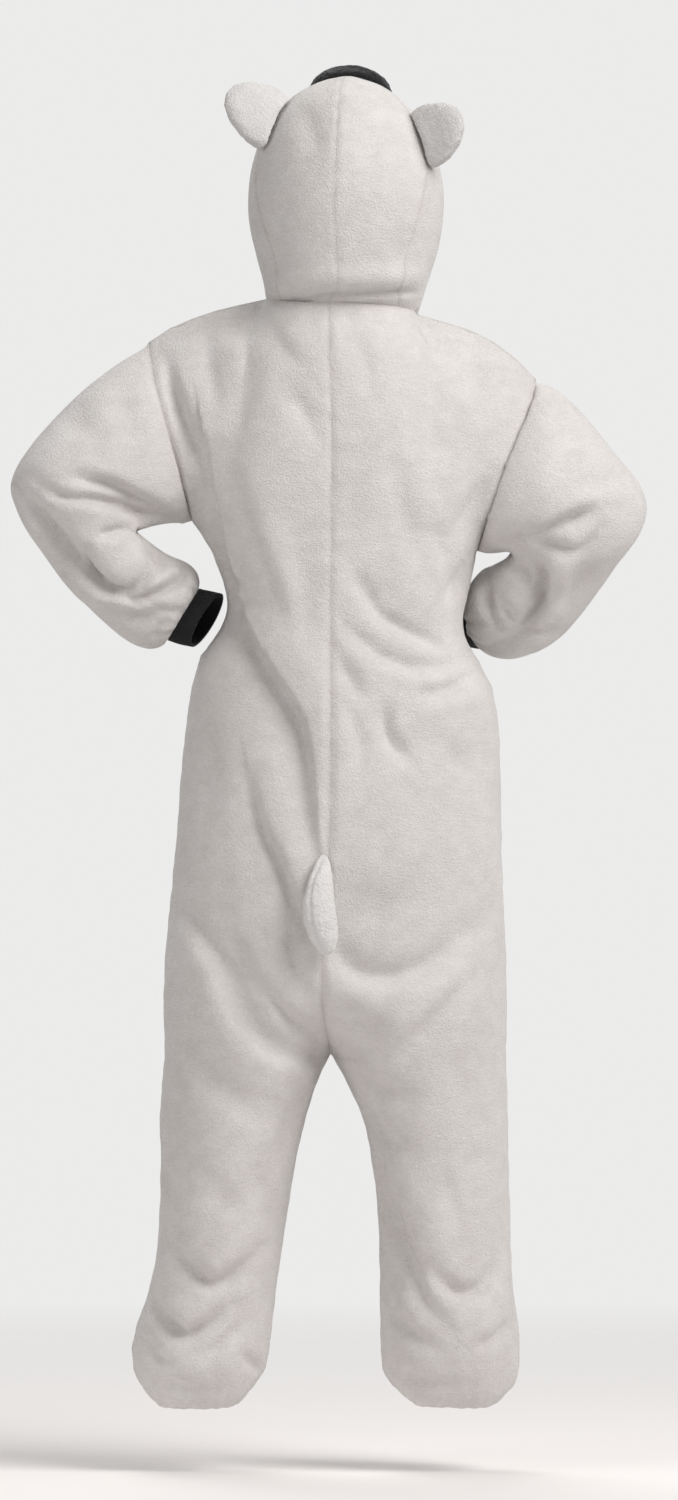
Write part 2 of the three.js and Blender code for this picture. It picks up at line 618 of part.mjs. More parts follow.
// A closed wall between two sheets of matching rows
function wallGeometry(outer, inner, closed) {
  const rowCount = outer.length;
  const columnCount = outer[0].length;
  const points = outer.flat().concat(inner.flat());
  const index = (layer, i, j) => layer * rowCount * columnCount + i * columnCount + (j % columnCount);
  const triangles = [];
  const quad = (a, b, c, d) => triangles.push([a, b, c], [a, c, d]);
  const shift = rowCount * columnCount;
  const lastColumn = closed ? columnCount : columnCount - 1;
  for (let i = 0; i < rowCount - 1; i++) {
    for (let j = 0; j < lastColumn; j++) {
      const a = index(0, i, j);
      const b = index(0, i, j + 1);
      const c = index(0, i + 1, j + 1);
      const d = index(0, i + 1, j);
      const isShorter = points[a].distanceTo(points[c]) <= points[b].distanceTo(points[d]);
      const cell = isShorter ? [[a, b, c], [a, c, d]] : [[a, b, d], [b, c, d]];
      const cellInside = cell.map(([u, v, w]) => [w + shift, v + shift, u + shift]);
      triangles.push(...cell, ...cellInside);
    }
  }
  for (let j = 0; j < lastColumn; j++) {
    quad(index(0, 0, j), index(1, 0, j), index(1, 0, j + 1), index(0, 0, j + 1));
    const end = rowCount - 1;
    quad(index(0, end, j + 1), index(1, end, j + 1), index(1, end, j), index(0, end, j));
  }
  if (!closed) {
    for (let i = 0; i < rowCount - 1; i++) {
      const end = columnCount - 1;
      quad(index(0, i + 1, 0), index(1, i + 1, 0), index(1, i, 0), index(0, i, 0));
      quad(index(0, i, end), index(1, i, end), index(1, i + 1, end), index(0, i + 1, end));
    }
  }
  let volume = 0;
  for (const [a, b, c] of triangles) {
    volume += points[a].dot(points[b].clone().cross(points[c]));
  }
  const outward = volume > 0 ? triangles : triangles.map(([a, b, c]) => [a, c, b]);
  const geometry = new THREE.BufferGeometry().setFromPoints(points);
  geometry.setIndex(outward.flat());
  geometry.computeVertexNormals();
  return geometry;
}

// Moves the edge points of both faces of a wall inwards by half the seam gap, or further where the sheet
// is set into another one
function openSeams(outer, inner, closed, isSetIn) {
  const shifts = outer.map((row) => row.map(() => new THREE.Vector3()));
  const lastRow = outer.length - 1;
  const lastColumn = outer[0].length - 1;
  const pull = (i, j, towards, length) => {
    const step = towards.clone().sub(outer[i][j]).setLength(length);
    shifts[i][j].add(step);
  };
  for (let j = 0; j <= lastColumn; j++) {
    pull(0, j, outer[1][j], isSetIn ? setInGap : seamGap / 2);
    pull(lastRow, j, outer[lastRow - 1][j], seamGap / 2);
  }
  if (!closed) {
    for (let i = 0; i <= lastRow; i++) {
      const length = isSetIn ? setInSideGap : seamGap / 2;
      pull(i, 0, outer[i][1], length);
      pull(i, lastColumn, outer[i][lastColumn - 1], length);
    }
  }
  const moved = (rows) => rows.map((row, i) => row.map((point, j) => point.clone().add(shifts[i][j])));
  return [moved(outer), moved(inner)];
}

const part = new THREE.Group();

function material(colour, roughness) {
  return new THREE.MeshStandardMaterial({ color: colour, roughness, metalness: 0 });
}

function addMesh(name, geometry, finish) {
  const mesh = new THREE.Mesh(geometry, finish);
  mesh.name = name;
  part.add(mesh);
  return mesh;
}

const plush = material(plushColour, 0.95);
const pale = material(paleColour, 0.95);
const blackRib = material(blackColour, 0.9);
const blackPlush = material(blackColour, 0.95);
const buttonPlastic = material(buttonColour, 0.35);

// Cloth sheets. The first row of a set in sheet lies on another sheet's edge.
const sleeve = { closed: true, isSetIn: true, folds: sleeveFolds, finish: plush };
const cuff = { closed: true, isSetIn: true, folds: [], finish: blackRib };
const panel = { closed: false, isSetIn: false, folds: bodyFolds, finish: plush };
const hoodPanel = { closed: false, isSetIn: true, folds: [], finish: plush };
const sheets = [
  { ...panel, name: "back_left", rows: bodyPanel("left", "back") },
  { ...panel, name: "back_right", rows: bodyPanel("right", "back") },
  { ...panel, name: "front_left", rows: bodyPanel("left", "front") },
  { ...panel, name: "front_right", rows: bodyPanel("right", "front") },
  { ...sleeve, name: "sleeve_left", rows: sleeveTube("left") },
  { ...sleeve, name: "sleeve_right", rows: sleeveTube("right") },
  { ...cuff, name: "cuff_left", rows: cuffTube("left") },
  { ...cuff, name: "cuff_right", rows: cuffTube("right") },
  { ...hoodPanel, name: "hood_back_left", rows: hoodBackPanel("left") },
  { ...hoodPanel, name: "hood_back_right", rows: hoodBackPanel("right") },
  { ...hoodPanel, name: "hood_front_left", rows: hoodFrontPanel("left") },
  { ...hoodPanel, name: "hood_front_right", rows: hoodFrontPanel("right") },
];

// Folds fade out within two cells of the armhole, neck and cuff seams, where two folded sheets meet
function foldFade(sheet, i, j) {
  const fromStart = smooth(0, 2, i);
  if (sheet.closed) {
    return fromStart * smooth(0, 2, sheet.rows.length - 1 - i);
  }
  return i <= yokeRows ? fromStart * smooth(0, 2, bodyColumns - j) : 1;
}

const plainNormal = sharedNormals(sheets);
const foldedRows = sheets.map((sheet) => sheet.rows.map((row, i) => row.map((point, j) => {
  const normal = plainNormal(point);
  const height = foldHeight(point, normal, sheet.folds) * foldFade(sheet, i, j);
  return point.clone().addScaledVector(normal, height);
})));
sheets.forEach((sheet, index) => {
  sheet.rows = foldedRows[index];
});
const clothNormal = sharedNormals(sheets);
const offsetRows = (rows, distance) => rows.map((row) => row.map((point) => (
  point.clone().addScaledVector(clothNormal(point), distance)
)));
for (const sheet of sheets) {
  const inside = offsetRows(sheet.rows, -clothThickness);
  const [outer, inner] = openSeams(sheet.rows, inside, sheet.closed, sheet.isSetIn);
  addMesh(sheet.name, wallGeometry(outer, inner, sheet.closed), sheet.finish);
}

// Front band over the centre front edges, made from the panels' own points and moved out
const frontLeft = sheets.find((sheet) => sheet.name === "front_left").rows;
const frontRight = sheets.find((sheet) => sheet.name === "front_right").rows;
const bandPath = [];
for (let i = 0; i <= bandRows; i++) {
  bandPath.push([frontRight[i][1], frontLeft[i][0], frontLeft[i][1]]);
}
const bandUnder = offsetRows(bandPath, seamGap);
const bandOver = offsetRows(bandPath, seamGap + bandThickness);
addMesh("front_band", wallGeometry(bandOver, bandUnder, false), plush);

// Buttons down the middle of the band, with a rounded rim and a dished middle
const buttonOutline = [
  { radius: 0, height: 0 },
  { radius: 0.92, height: 0 },
  { radius: 1, height: 0.3 },
  { radius: 1, height: 0.75 },
  { radius: 0.9, height: 1 },
  { radius: 0.68, height: 0.8 },
  { radius: 0, height: 0.7 },
];
const buttonProfile = buttonOutline.map(({ radius, height }) => (
  new THREE.Vector2(radius * buttonRadius, height * buttonThickness)
));
buttonHeights.forEach((height, index) => {
  const line = bandOver.map((row) => row[1]);
  const after = line.findIndex((point) => point.z < height);
  const share = (height - line[after - 1].z) / (line[after].z - line[after - 1].z);
  const place = mix(line[after - 1], line[after], share);
  const slope = line[after].clone().sub(line[after - 1]).normalize();
  const outwards = new THREE.Vector3(1, 0, 0).cross(slope).normalize();
  outwards.multiplyScalar(outwards.y > 0 ? -1 : 1);
  const disc = new THREE.LatheGeometry(buttonProfile, buttonSides);
  const button = addMesh(`button_${index + 1}`, disc, buttonPlastic);
  button.quaternion.setFromUnitVectors(new THREE.Vector3(0, 1, 0), outwards);
  button.position.copy(place).addScaledVector(outwards, buttonLift);
});

// Moves a point onto the hood's form and then out by a small lift
function seatOnHood(point, lift) {
  const seat = ontoHood(toHood(point));
  const away = seat.clone().sub(new THREE.Vector3(0, 0, hood.wideZ)).normalize();
  return fromHood(seat.addScaledVector(away, lift));
}

// The seam that joins the hood's back and front, at the height of an ear's end
function seamSeat([x, z]) {
  const heightGap = (knot) => Math.abs(knot[1] - z);
  const nearest = archLine.reduce((best, knot) => (heightGap(knot) < heightGap(best) ? knot : best));
  return seatOnHood(new THREE.Vector3(x, nearest[0], z), 0);
}

// Ears: the base follows the hood, the outline rises from it, and each half is crowned to one side
function earHalf(sideName, face) {
  const ear = ears[sideName];
  const low = seamSeat(ear.low);
  const high = seamSeat(ear.high);
  const along = high.clone().sub(low).normalize();
  const middle = mix(low, high, 0.5);
  const outward = new THREE.Vector3(ear.outX, 0, ear.outZ).multiplyScalar(Math.cos(ear.tilt));
  outward.y = Math.sin(ear.tilt);
  outward.addScaledVector(along, -outward.dot(along)).normalize();
  const backward = along.clone().cross(outward).normalize();
  backward.multiplyScalar(backward.y < 0 ? -1 : 1);
  const side = face === "back" ? 1 : -1;
  const lifted = (point, isBase, thickness) => {
    const moved = point.clone().addScaledVector(backward, side * thickness);
    return isBase ? seatOnHood(moved, earLift) : moved;
  };
  const outer = [];
  const inner = [];
  for (let i = 0; i <= earRows; i++) {
    const up = i / earRows;
    const points = [];
    const crowns = [];
    for (let j = 0; j <= earColumns; j++) {
      const angle = Math.PI * (j / earColumns);
      const across = -Math.cos(angle) * ear.half;
      const bulge = Math.max(Math.sin(angle), 0);
      const round = bulge ** earRoundness;
      const base = seatOnHood(middle.clone().addScaledVector(along, across * earBaseShare), 0);
      const spread = 1 + earSpread * Math.sin(Math.PI * up);
      const rim = middle.clone().addScaledVector(along, across * spread + ear.lean * round);
      rim.addScaledVector(outward, Math.max(ear.tall * round, earLeastRise));
      points.push(mix(base, rim, up));
      crowns.push(earThickness * Math.sqrt(1 - up * up) * Math.sqrt(bulge));
    }
    const isBase = i === 0;
    outer.push(points.map((point, j) => lifted(point, isBase, seamGap / 2 + earRim + crowns[j])));
    inner.push(points.map((point) => lifted(point, isBase, seamGap / 2)));
  }
  return wallGeometry(outer, inner, false);
}

for (const sideName of ["left", "right"]) {
  addMesh(`ear_back_${sideName}`, earHalf(sideName, "back"), pale);
  addMesh(`ear_front_${sideName}`, earHalf(sideName, "front"), pale);
}

// Nose: a round-cornered pad whose back follows the hood
function nosePad() {
  const slope = new THREE.Vector3(0, nose.slopeY, nose.slopeZ).normalize();
  const climb = new THREE.Vector3(0, slope.z, -slope.y);
  const start = new THREE.Vector3(0, 0, hood.wideZ).addScaledVector(slope, hood.front);
  const outer = [];
  const inner = [];
  for (let i = 0; i <= nose.cells; i++) {
    const up = 1 - 2 * i / nose.cells;
    const outerRow = [];
    const innerRow = [];
    for (let j = 0; j <= nose.cells; j++) {
      const across = 2 * j / nose.cells - 1;
      const x = across * Math.sqrt(1 - up * up / 2);
      const rise = up * Math.sqrt(1 - across * across / 2);
      const radius = Math.min(Math.hypot(x, rise), 1);
      const point = start.clone().addScaledVector(climb, rise * nose.halfTall);
      point.x = x * nose.halfWide;
      const thickness = nose.rim + nose.thickness * Math.sqrt(1 - radius ** nose.roundness);
      innerRow.push(seatOnHood(fromHood(point), nose.lift));
      outerRow.push(seatOnHood(fromHood(point), nose.lift + thickness));
    }
    outer.push(outerRow);
    inner.push(innerRow);
  }
  return wallGeometry(outer, inner, false);
}

addMesh("nose", nosePad(), blackPlush);

// Tail: two stuffed halves that meet on a plane through the middle of each section
function tailHalf(isLeft) {
  const outer = [];
  const inner = [];
  for (const section of tailSections) {
    const centre = new THREE.Vector3(section.x, section.y, section.z);
    const outerRow = [];
    const innerRow = [];
    const start = tailSeamTurn + (isLeft ? 0 : Math.PI);
    const aside = new THREE.Vector3(Math.sin(start), -Math.cos(start), 0);
    const around = (angle) => new THREE.Vector3(
      section.half * Math.cos(angle), section.depth * Math.sin(angle), 0,
    ).add(centre);
    const first = around(start);
    const last = around(start - Math.PI);
    for (let j = 0; j <= tailColumns; j++) {
      const share = j / tailColumns;
      const isRim = j === 0 || j === tailColumns;
      const rimGap = isRim ? tailRimGap : seamGap / 2;
      outerRow.push(around(start - Math.PI * share).addScaledVector(aside, rimGap));
      innerRow.push(mix(first, last, share).addScaledVector(aside, seamGap / 2));
    }
    outer.push(outerRow);
    inner.push(innerRow);
  }
  return wallGeometry(outer, inner, false);
}

addMesh("tail_left", tailHalf(true), pale);
addMesh("tail_right", tailHalf(false), pale);

export default part;
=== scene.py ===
import math

import bmesh
import bpy
import numpy as np
from mathutils import Matrix, Vector, noise
from mathutils.kdtree import KDTree


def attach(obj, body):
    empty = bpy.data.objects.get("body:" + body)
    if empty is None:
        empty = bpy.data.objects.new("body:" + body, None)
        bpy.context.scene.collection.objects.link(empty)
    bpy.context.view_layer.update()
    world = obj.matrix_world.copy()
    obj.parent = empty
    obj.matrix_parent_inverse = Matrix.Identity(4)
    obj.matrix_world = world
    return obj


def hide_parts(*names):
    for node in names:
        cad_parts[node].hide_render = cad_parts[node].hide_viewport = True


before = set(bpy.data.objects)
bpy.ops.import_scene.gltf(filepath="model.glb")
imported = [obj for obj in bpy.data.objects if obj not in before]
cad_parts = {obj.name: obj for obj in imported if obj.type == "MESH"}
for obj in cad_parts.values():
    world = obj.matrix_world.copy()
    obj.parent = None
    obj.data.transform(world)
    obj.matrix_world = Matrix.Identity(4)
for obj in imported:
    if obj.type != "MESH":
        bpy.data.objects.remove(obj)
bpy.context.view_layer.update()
print("frame loaded:", len(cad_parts), "nodes")

# Camera, lights, floor
studio = {
    "cameraPlace": (-0.010, 14.0, -0.534),   # straight behind, level with the seat
    "cameraTarget": (-0.010, 0.0, -0.534),
    "frameHeight": 1.80,                     # metres of garment in the picture's height
    "sensorHeight": 36,
    "floorHeight": -1.398,
    "floorColour": (0.90, 0.872, 0.856, 1),
    "floorRadius": 4.2,
    "floorSolidTo": 0.5,                     # from here to its rim the floor fades into the air
    "airSeen": (0.835, 0.832, 0.828, 1),
    "airLight": (0.93, 0.92, 0.92, 1),
    "airStrength": 0.38,
}
lamps = [
    {"name": "keyLight", "place": (-2.3, 2.0, 2.1), "target": (0, 0, -0.35), "width": 2.8, "power": 142,
     "colour": (1.0, 0.985, 0.97)},
    {"name": "fillLight", "place": (2.8, 2.4, 0.4), "target": (0, 0, -0.6), "width": 2.2, "power": 27,
     "colour": (1.0, 0.98, 0.97)},
    {"name": "frontLight", "place": (0.6, -2.6, 2.8), "target": (0, 0, -0.4), "width": 2.4, "power": 60,
     "colour": (1.0, 0.99, 0.98)},
]


def aimAt(thing, target):
    direction = Vector(target) - thing.location
    thing.rotation_euler = direction.to_track_quat("-Z", "Y").to_euler()


def makeCamera():
    bpy.ops.object.camera_add(location=studio["cameraPlace"])
    camera = bpy.context.object
    aimAt(camera, studio["cameraTarget"])
    reach = (Vector(studio["cameraPlace"]) - Vector(studio["cameraTarget"])).length
    camera.data.sensor_fit = "VERTICAL"
    camera.data.sensor_height = studio["sensorHeight"]
    camera.data.lens = studio["sensorHeight"] * reach / studio["frameHeight"]
    camera.data.clip_end = 60
    bpy.context.scene.camera = camera


def makeLamps():
    for look in lamps:
        bpy.ops.object.light_add(type="AREA", location=look["place"])
        lamp = bpy.context.object
        lamp.name = look["name"]
        lamp.data.shape = "DISK"
        lamp.data.size = look["width"]
        lamp.data.energy = look["power"]
        lamp.data.color = look["colour"]
        aimAt(lamp, look["target"])


def makeAir():
    # the air lights the scene softly, and the camera sees it as an even pale background
    world = bpy.data.worlds.new("studioAir")
    bpy.context.scene.world = world
    world.use_nodes = True
    nodes = world.node_tree.nodes
    light = nodes["Background"]
    light.inputs["Color"].default_value = studio["airLight"]
    light.inputs["Strength"].default_value = studio["airStrength"]
    seen = nodes.new("ShaderNodeBackground")
    seen.inputs["Color"].default_value = studio["airSeen"]
    choice = nodes.new("ShaderNodeMixShader")
    ray = nodes.new("ShaderNodeLightPath")
    for start, end in (
        (ray.outputs["Is Camera Ray"], choice.inputs[0]),
        (light.outputs[0], choice.inputs[1]),
        (seen.outputs[0], choice.inputs[2]),
        (choice.outputs[0], nodes["World Output"].inputs["Surface"]),
    ):
        world.node_tree.links.new(start, end)
    bpy.context.scene.view_settings.view_transform = "Standard"


makeCamera()
makeLamps()
makeAir()


# Shader helpers
class Wire:
    # a socket that can be added, multiplied and so on like a number
    def __init__(self, finish, socket):
        self.finish = finish
        self.socket = socket

    def join(self, operation, first, second):
        return self.finish.add("ShaderNodeMath", {"operation": operation}, {0: first, 1: second})["Value"]

    def __add__(self, other):
        return self.join("ADD", self, other)

    def __sub__(self, other):
        return self.join("SUBTRACT", self, other)

    def __mul__(self, other):
        return self.join("MULTIPLY", self, other)

    def __radd__(self, other):
        return self.join("ADD", other, self)

    def __rsub__(self, other):
        return self.join("SUBTRACT", other, self)

    def __rmul__(self, other):
        return self.join("MULTIPLY", other, self)


class NodeOutputs:
    def __init__(self, finish, node):
        self.finish = finish
        self.node = node

    def __getitem__(self, name):
        return Wire(self.finish, self.node.outputs[name])


class Finish:
    # one material and its node tree
    def __init__(self, name):
        self.material = bpy.data.materials.new(name)
        self.material.use_nodes = True
        self.tree = self.material.node_tree
        self.shader = self.tree.nodes["Principled BSDF"]

    def add(self, kind, settings=None, values=None):
        node = self.tree.nodes.new(kind)
        for key, value in (settings or {}).items():
            setattr(node, key, value)
        for key, value in (values or {}).items():
            self.put(node.inputs[key], value)
        return NodeOutputs(self, node)

    def put(self, socket, value):
        if isinstance(value, Wire):
            self.tree.links.new(value.socket, socket)
        else:
            socket.default_value = value

    def mixColours(self, factor, first, second):
        # sockets 0, 6 and 7 are the factor and the two colours, and output 2 is the mixed colour
        return self.add("ShaderNodeMix", {"data_type": "RGBA"}, {0: factor, 6: first, 7: second})[2]

    def place(self, scale):
        coords = self.add("ShaderNodeTexCoord")["Object"]
        return self.add("ShaderNodeMapping", None, {"Vector": coords, "Scale": scale})["Vector"]

    def speckle(self, scale, detail, stretch=(1, 1, 1)):
        where = self.place(stretch)
        values = {"Vector": where, "Scale": scale, "Detail": detail, "Roughness": 0.55}
        return self.add("ShaderNodeTexNoise", None, values)["Fac"]

    def spread(self, value, low, high):
        # stretches a band of a texture to 0..1
        values = {"Value": value, "From Min": low, "From Max": high}
        return self.add("ShaderNodeMapRange", {"clamp": True}, values)["Result"]

    def set(self, **sockets):
        words = {"colour": "Base Color", "roughness": "Roughness", "specular": "Specular IOR Level",
                 "sheen": "Sheen Weight", "sheenRoughness": "Sheen Roughness", "normal": "Normal",
                 "alpha": "Alpha"}
        for name, value in sockets.items():
            self.put(self.shader.inputs[words[name]], value)


# Finishes
plushLooks = {
    "greyPlush": {"light": (0.76, 0.742, 0.73, 1), "dark": (0.55, 0.518, 0.495, 1),
                  "napDepth": 0.0016, "streak": 0.22},
    "palePlush": {"light": (0.86, 0.85, 0.845, 1), "dark": (0.68, 0.665, 0.655, 1),
                  "napDepth": 0.0026, "streak": 0.10},
    "earPlush": {"light": (0.76, 0.75, 0.745, 1), "dark": (0.58, 0.565, 0.555, 1),
                 "napDepth": 0.0018, "streak": 0.10},
    "blackPlush": {"light": (0.016, 0.016, 0.018, 1), "dark": (0.007, 0.007, 0.008, 1),
                   "napDepth": 0.0012, "streak": 0.10},
}
ribLook = {"light": (0.022, 0.022, 0.025, 1), "dark": (0.006, 0.006, 0.007, 1), "rowScale": 160}
plasticLook = {"light": (0.40, 0.385, 0.37, 1), "dark": (0.30, 0.285, 0.27, 1), "roughness": 0.32}


def plushFinish(name):
    # short pile: cloudy tone where the nap turns, faint level streaks, a fine grain, and painted shade
    # darkening the colour along the seam grooves
    look = plushLooks[name]
    finish = Finish(name)
    cloud = finish.spread(finish.speckle(8, 3), 0.30, 0.72)
    patch = finish.spread(finish.speckle(42, 4, (1, 1, 1.3)), 0.30, 0.70)
    lines = finish.spread(finish.speckle(1, 3, (130, 130, 520)), 0.30, 0.70)
    grain = finish.spread(finish.speckle(1, 3, (420, 420, 520)), 0.34, 0.66)
    # painted shade: the colour is darkened in the narrow groove along each seam, where shade falls
    seam = finish.add("ShaderNodeAttribute", {"attribute_name": "paintedSeamShade"})["Fac"]
    tone = cloud * 0.28 + patch * 0.26 + lines * look["streak"] + grain * 0.24 - seam * 0.32
    colour = finish.mixColours(tone, look["dark"], look["light"])
    height = lines * 0.35 + patch * 0.35 + grain * 0.9
    values = {"Height": height, "Distance": look["napDepth"], "Strength": 0.55}
    bump = finish.add("ShaderNodeBump", None, values)["Normal"]
    finish.set(colour=colour, roughness=0.92, sheen=0.32, sheenRoughness=0.45, specular=0.2, normal=bump)
    return finish.material


def ribFinish():
    finish = Finish("blackRib")
    grain = finish.speckle(700, 3)
    rows = finish.add("ShaderNodeTexWave", {"wave_type": "BANDS", "bands_direction": "Z"},
                      {"Vector": finish.place((1, 1, 1)), "Scale": ribLook["rowScale"],
                       "Distortion": 1.5})["Fac"]
    colour = finish.mixColours(grain * 0.7 + rows * 0.3, ribLook["dark"], ribLook["light"])
    values = {"Height": grain * 0.5 + rows * 0.5, "Distance": 0.0004, "Strength": 0.6}
    bump = finish.add("ShaderNodeBump", None, values)["Normal"]
    finish.set(colour=colour, roughness=0.85, sheen=0.15, sheenRoughness=0.4, specular=0.25, normal=bump)
    return finish.material


def buttonFinish():
    finish = Finish("buttonPlastic")
    swirl = finish.spread(finish.speckle(180, 4), 0.3, 0.7)
    colour = finish.mixColours(swirl, plasticLook["dark"], plasticLook["light"])
    finish.set(colour=colour, roughness=plasticLook["roughness"] + swirl * 0.12, specular=0.5)
    return finish.material


def floorFinish():
    # pale, and fading out into the air towards its rim
    finish = Finish("paleFloor")
    cloud = finish.speckle(0.8, 2)
    pale = studio["floorColour"]
    colour = finish.mixColours(cloud, pale, (pale[0] + 0.02, pale[1] + 0.02, pale[2] + 0.02, 1))
    far = finish.add("ShaderNodeVectorMath", {"operation": "LENGTH"}, {0: finish.place((1, 1, 1))})["Value"]
    fade = finish.spread(far, studio["floorRadius"], studio["floorSolidTo"])
    finish.set(colour=colour, roughness=0.75, specular=0.15, alpha=fade)
    return finish.material


greyPlush = plushFinish("greyPlush")
palePlush = plushFinish("palePlush")
earPlush = plushFinish("earPlush")
blackPlush = plushFinish("blackPlush")
blackRib = ribFinish()
buttonPlastic = buttonFinish()


# Selection and modifiers
def deselectAll():
    bpy.ops.object.select_all(action="DESELECT")


def pickOnly(thing):
    deselectAll()
    thing.select_set(True)
    bpy.context.view_layer.objects.active = thing


def useModifier(thing, kind, **settings):
    pickOnly(thing)
    modifier = thing.modifiers.new(kind.lower(), kind)
    for key, value in settings.items():
        setattr(modifier, key, value)
    bpy.ops.object.modifier_apply(modifier=modifier.name)


def makeFloor():
    deselectAll()
    bpy.ops.mesh.primitive_circle_add(vertices=96, radius=studio["floorRadius"], fill_type="NGON",
                                      location=(0, 0, studio["floorHeight"]))
    floor = bpy.context.object
    floor.name = "studioFloor"
    floor.data.materials.append(floorFinish())


makeFloor()
print("studio made")

# Cloth helpers
seamOverlap = 0.0007          # how far sewn edges run into each other, so that no seam gapes
foldStrength = 1.55           # deepens or flattens every fold together


def copyNodes(name, nodeNames):
    # a merged copy of one or more solids of the frame
    shape = bmesh.new()
    for nodeName in nodeNames:
        shape.from_mesh(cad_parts[nodeName].data)
    bmesh.ops.remove_doubles(shape, verts=shape.verts, dist=1e-5)
    mesh = bpy.data.meshes.new(name)
    shape.to_mesh(mesh)
    shape.free()
    piece = bpy.data.objects.new(name, mesh)
    bpy.context.scene.collection.objects.link(piece)
    return piece


def smoothIslands(shape, sharpest):
    # groups of faces that meet without a sharp edge, the largest first
    seen = set()
    islands = []
    for start in shape.faces:
        if start in seen:
            continue
        group = [start]
        seen.add(start)
        for face in group:
            for edge in face.edges:
                if edge.calc_face_angle(math.pi) > sharpest:
                    continue
                for other in edge.link_faces:
                    if other not in seen:
                        seen.add(other)
                        group.append(other)
        islands.append(group)
    return sorted(islands, key=lambda group: -sum(face.calc_area() for face in group))


def outerSheet(name, nodeName):
    # the outer face of a cloth wall, without its inner face and rims, with its triangles in pairs
    sharpest = 0.84
    piece = copyNodes(name, [nodeName])
    shape = bmesh.new()
    shape.from_mesh(piece.data)
    shape.normal_update()
    outer, inner = smoothIslands(shape, sharpest)[:2]
    shares = [{}, {}]
    for share, island in zip(shares, (outer, inner)):
        for face in island:
            for vertex in face.verts:
                share[vertex] = share.get(vertex, 0) + face.calc_area()
    kept = {face for face in outer if all(shares[0][v] > shares[1].get(v, 0) for v in face.verts)}
    bmesh.ops.delete(shape, geom=[face for face in shape.faces if face not in kept], context="FACES")
    bmesh.ops.join_triangles(shape, faces=shape.faces, angle_face_threshold=1.2,
                             angle_shape_threshold=1.4)
    shape.to_mesh(piece.data)
    shape.free()
    return piece


def readPoints(piece):
    mesh = piece.data
    points = np.zeros(len(mesh.vertices) * 3)
    mesh.vertices.foreach_get("co", points)
    normals = np.zeros(len(mesh.vertices) * 3)
    mesh.vertices.foreach_get("normal", normals)
    return points.reshape(-1, 3), normals.reshape(-1, 3)


def writePoints(piece, points):
    piece.data.vertices.foreach_set("co", points.ravel())
    piece.data.update()


def smoothStep(low, high, value):
    share = np.clip((value - low) / (high - low), 0, 1)
    return share * share * (3 - 2 * share)


def curvedLine(knots, steps=20):
    # a smooth line through knots in millimetres, given back in metres
    knots = [np.array(knot, float) / 1000 for knot in knots]
    padded = [2 * knots[0] - knots[1]] + knots + [2 * knots[-1] - knots[-2]]
    line = []
    for i in range(len(knots) - 1):
        a, b, c, d = padded[i:i + 4]
        for step in range(steps):
            t = step / steps
            line.append(0.5 * (2 * b + (c - a) * t + (2 * a - 5 * b + 4 * c - d) * t ** 2
                               + (3 * b - a - 3 * c + d) * t ** 3))
    line.append(knots[-1])
    return np.array(line)


def foldHeights(points, normals, face, folds):
    # each fold is a soft trough along its line, which is given as (x, z); lip raises the cloth on
    # the left of its run, or on the right where it is minus, and fall lets the other side lie lower
    flat = points[:, [0, 2]]
    wander = np.array([noise.noise(Vector(p) * 17) for p in points])
    heights = np.zeros(len(points))
    for fold in folds:
        line = curvedLine(fold["line"])
        width = fold["width"] / 1000
        near = np.all((flat > line.min(0) - width * 7) & (flat < line.max(0) + width * 7), axis=1)
        if not near.any():
            continue
        spot = flat[near]
        best = np.full(len(spot), 9.0)
        side = np.ones(len(spot))
        share = np.zeros(len(spot))
        for i in range(len(line) - 1):
            run = line[i + 1] - line[i]
            away = spot - line[i]
            t = np.clip(away @ run / (run @ run), 0, 1)
            gap = away - t[:, None] * run
            distance = np.hypot(gap[:, 0], gap[:, 1])
            closer = distance < best
            turn = run[0] * away[:, 1] - run[1] * away[:, 0]
            best = np.where(closer, distance, best)
            side = np.where(closer, np.sign(turn), side)
            share = np.where(closer, (i + t) / (len(line) - 1), share)
        lip = fold.get("lip", 0)
        crisp = fold.get("crisp", False)
        offset = best * side * (1 if lip >= 0 else -1) / width
        offset += wander[near] * (0.12 if crisp else 0.35)
        ends = np.sin(np.pi * np.clip(share, 0.04, 0.96)) ** 0.7
        facing = normals[near, 1] * (1 if face == "back" else -1)
        weight = ends * smoothStep(0.0, 0.45, facing)
        if crisp:
            raised = smoothStep(-0.1, 0.55, offset) * np.exp(-(offset / 5) ** 2)
            change = abs(lip) * raised - fold["depth"] * np.exp(-((offset + 0.6) / 0.8) ** 2)
        else:
            raised = (1 - np.exp(-np.clip(offset, 0, None) * 1.3)) * np.exp(-(offset / 3.6) ** 2)
            change = abs(lip) * raised * (offset > 0) - fold["depth"] * np.exp(-offset ** 2)
        lower = smoothStep(-0.6, 0.9, -offset) * np.exp(-(offset / fold.get("reach", 4)) ** 2)
        change -= fold.get("fall", 0) * lower
        heights[near] += change * weight * foldStrength / 1000
    return heights


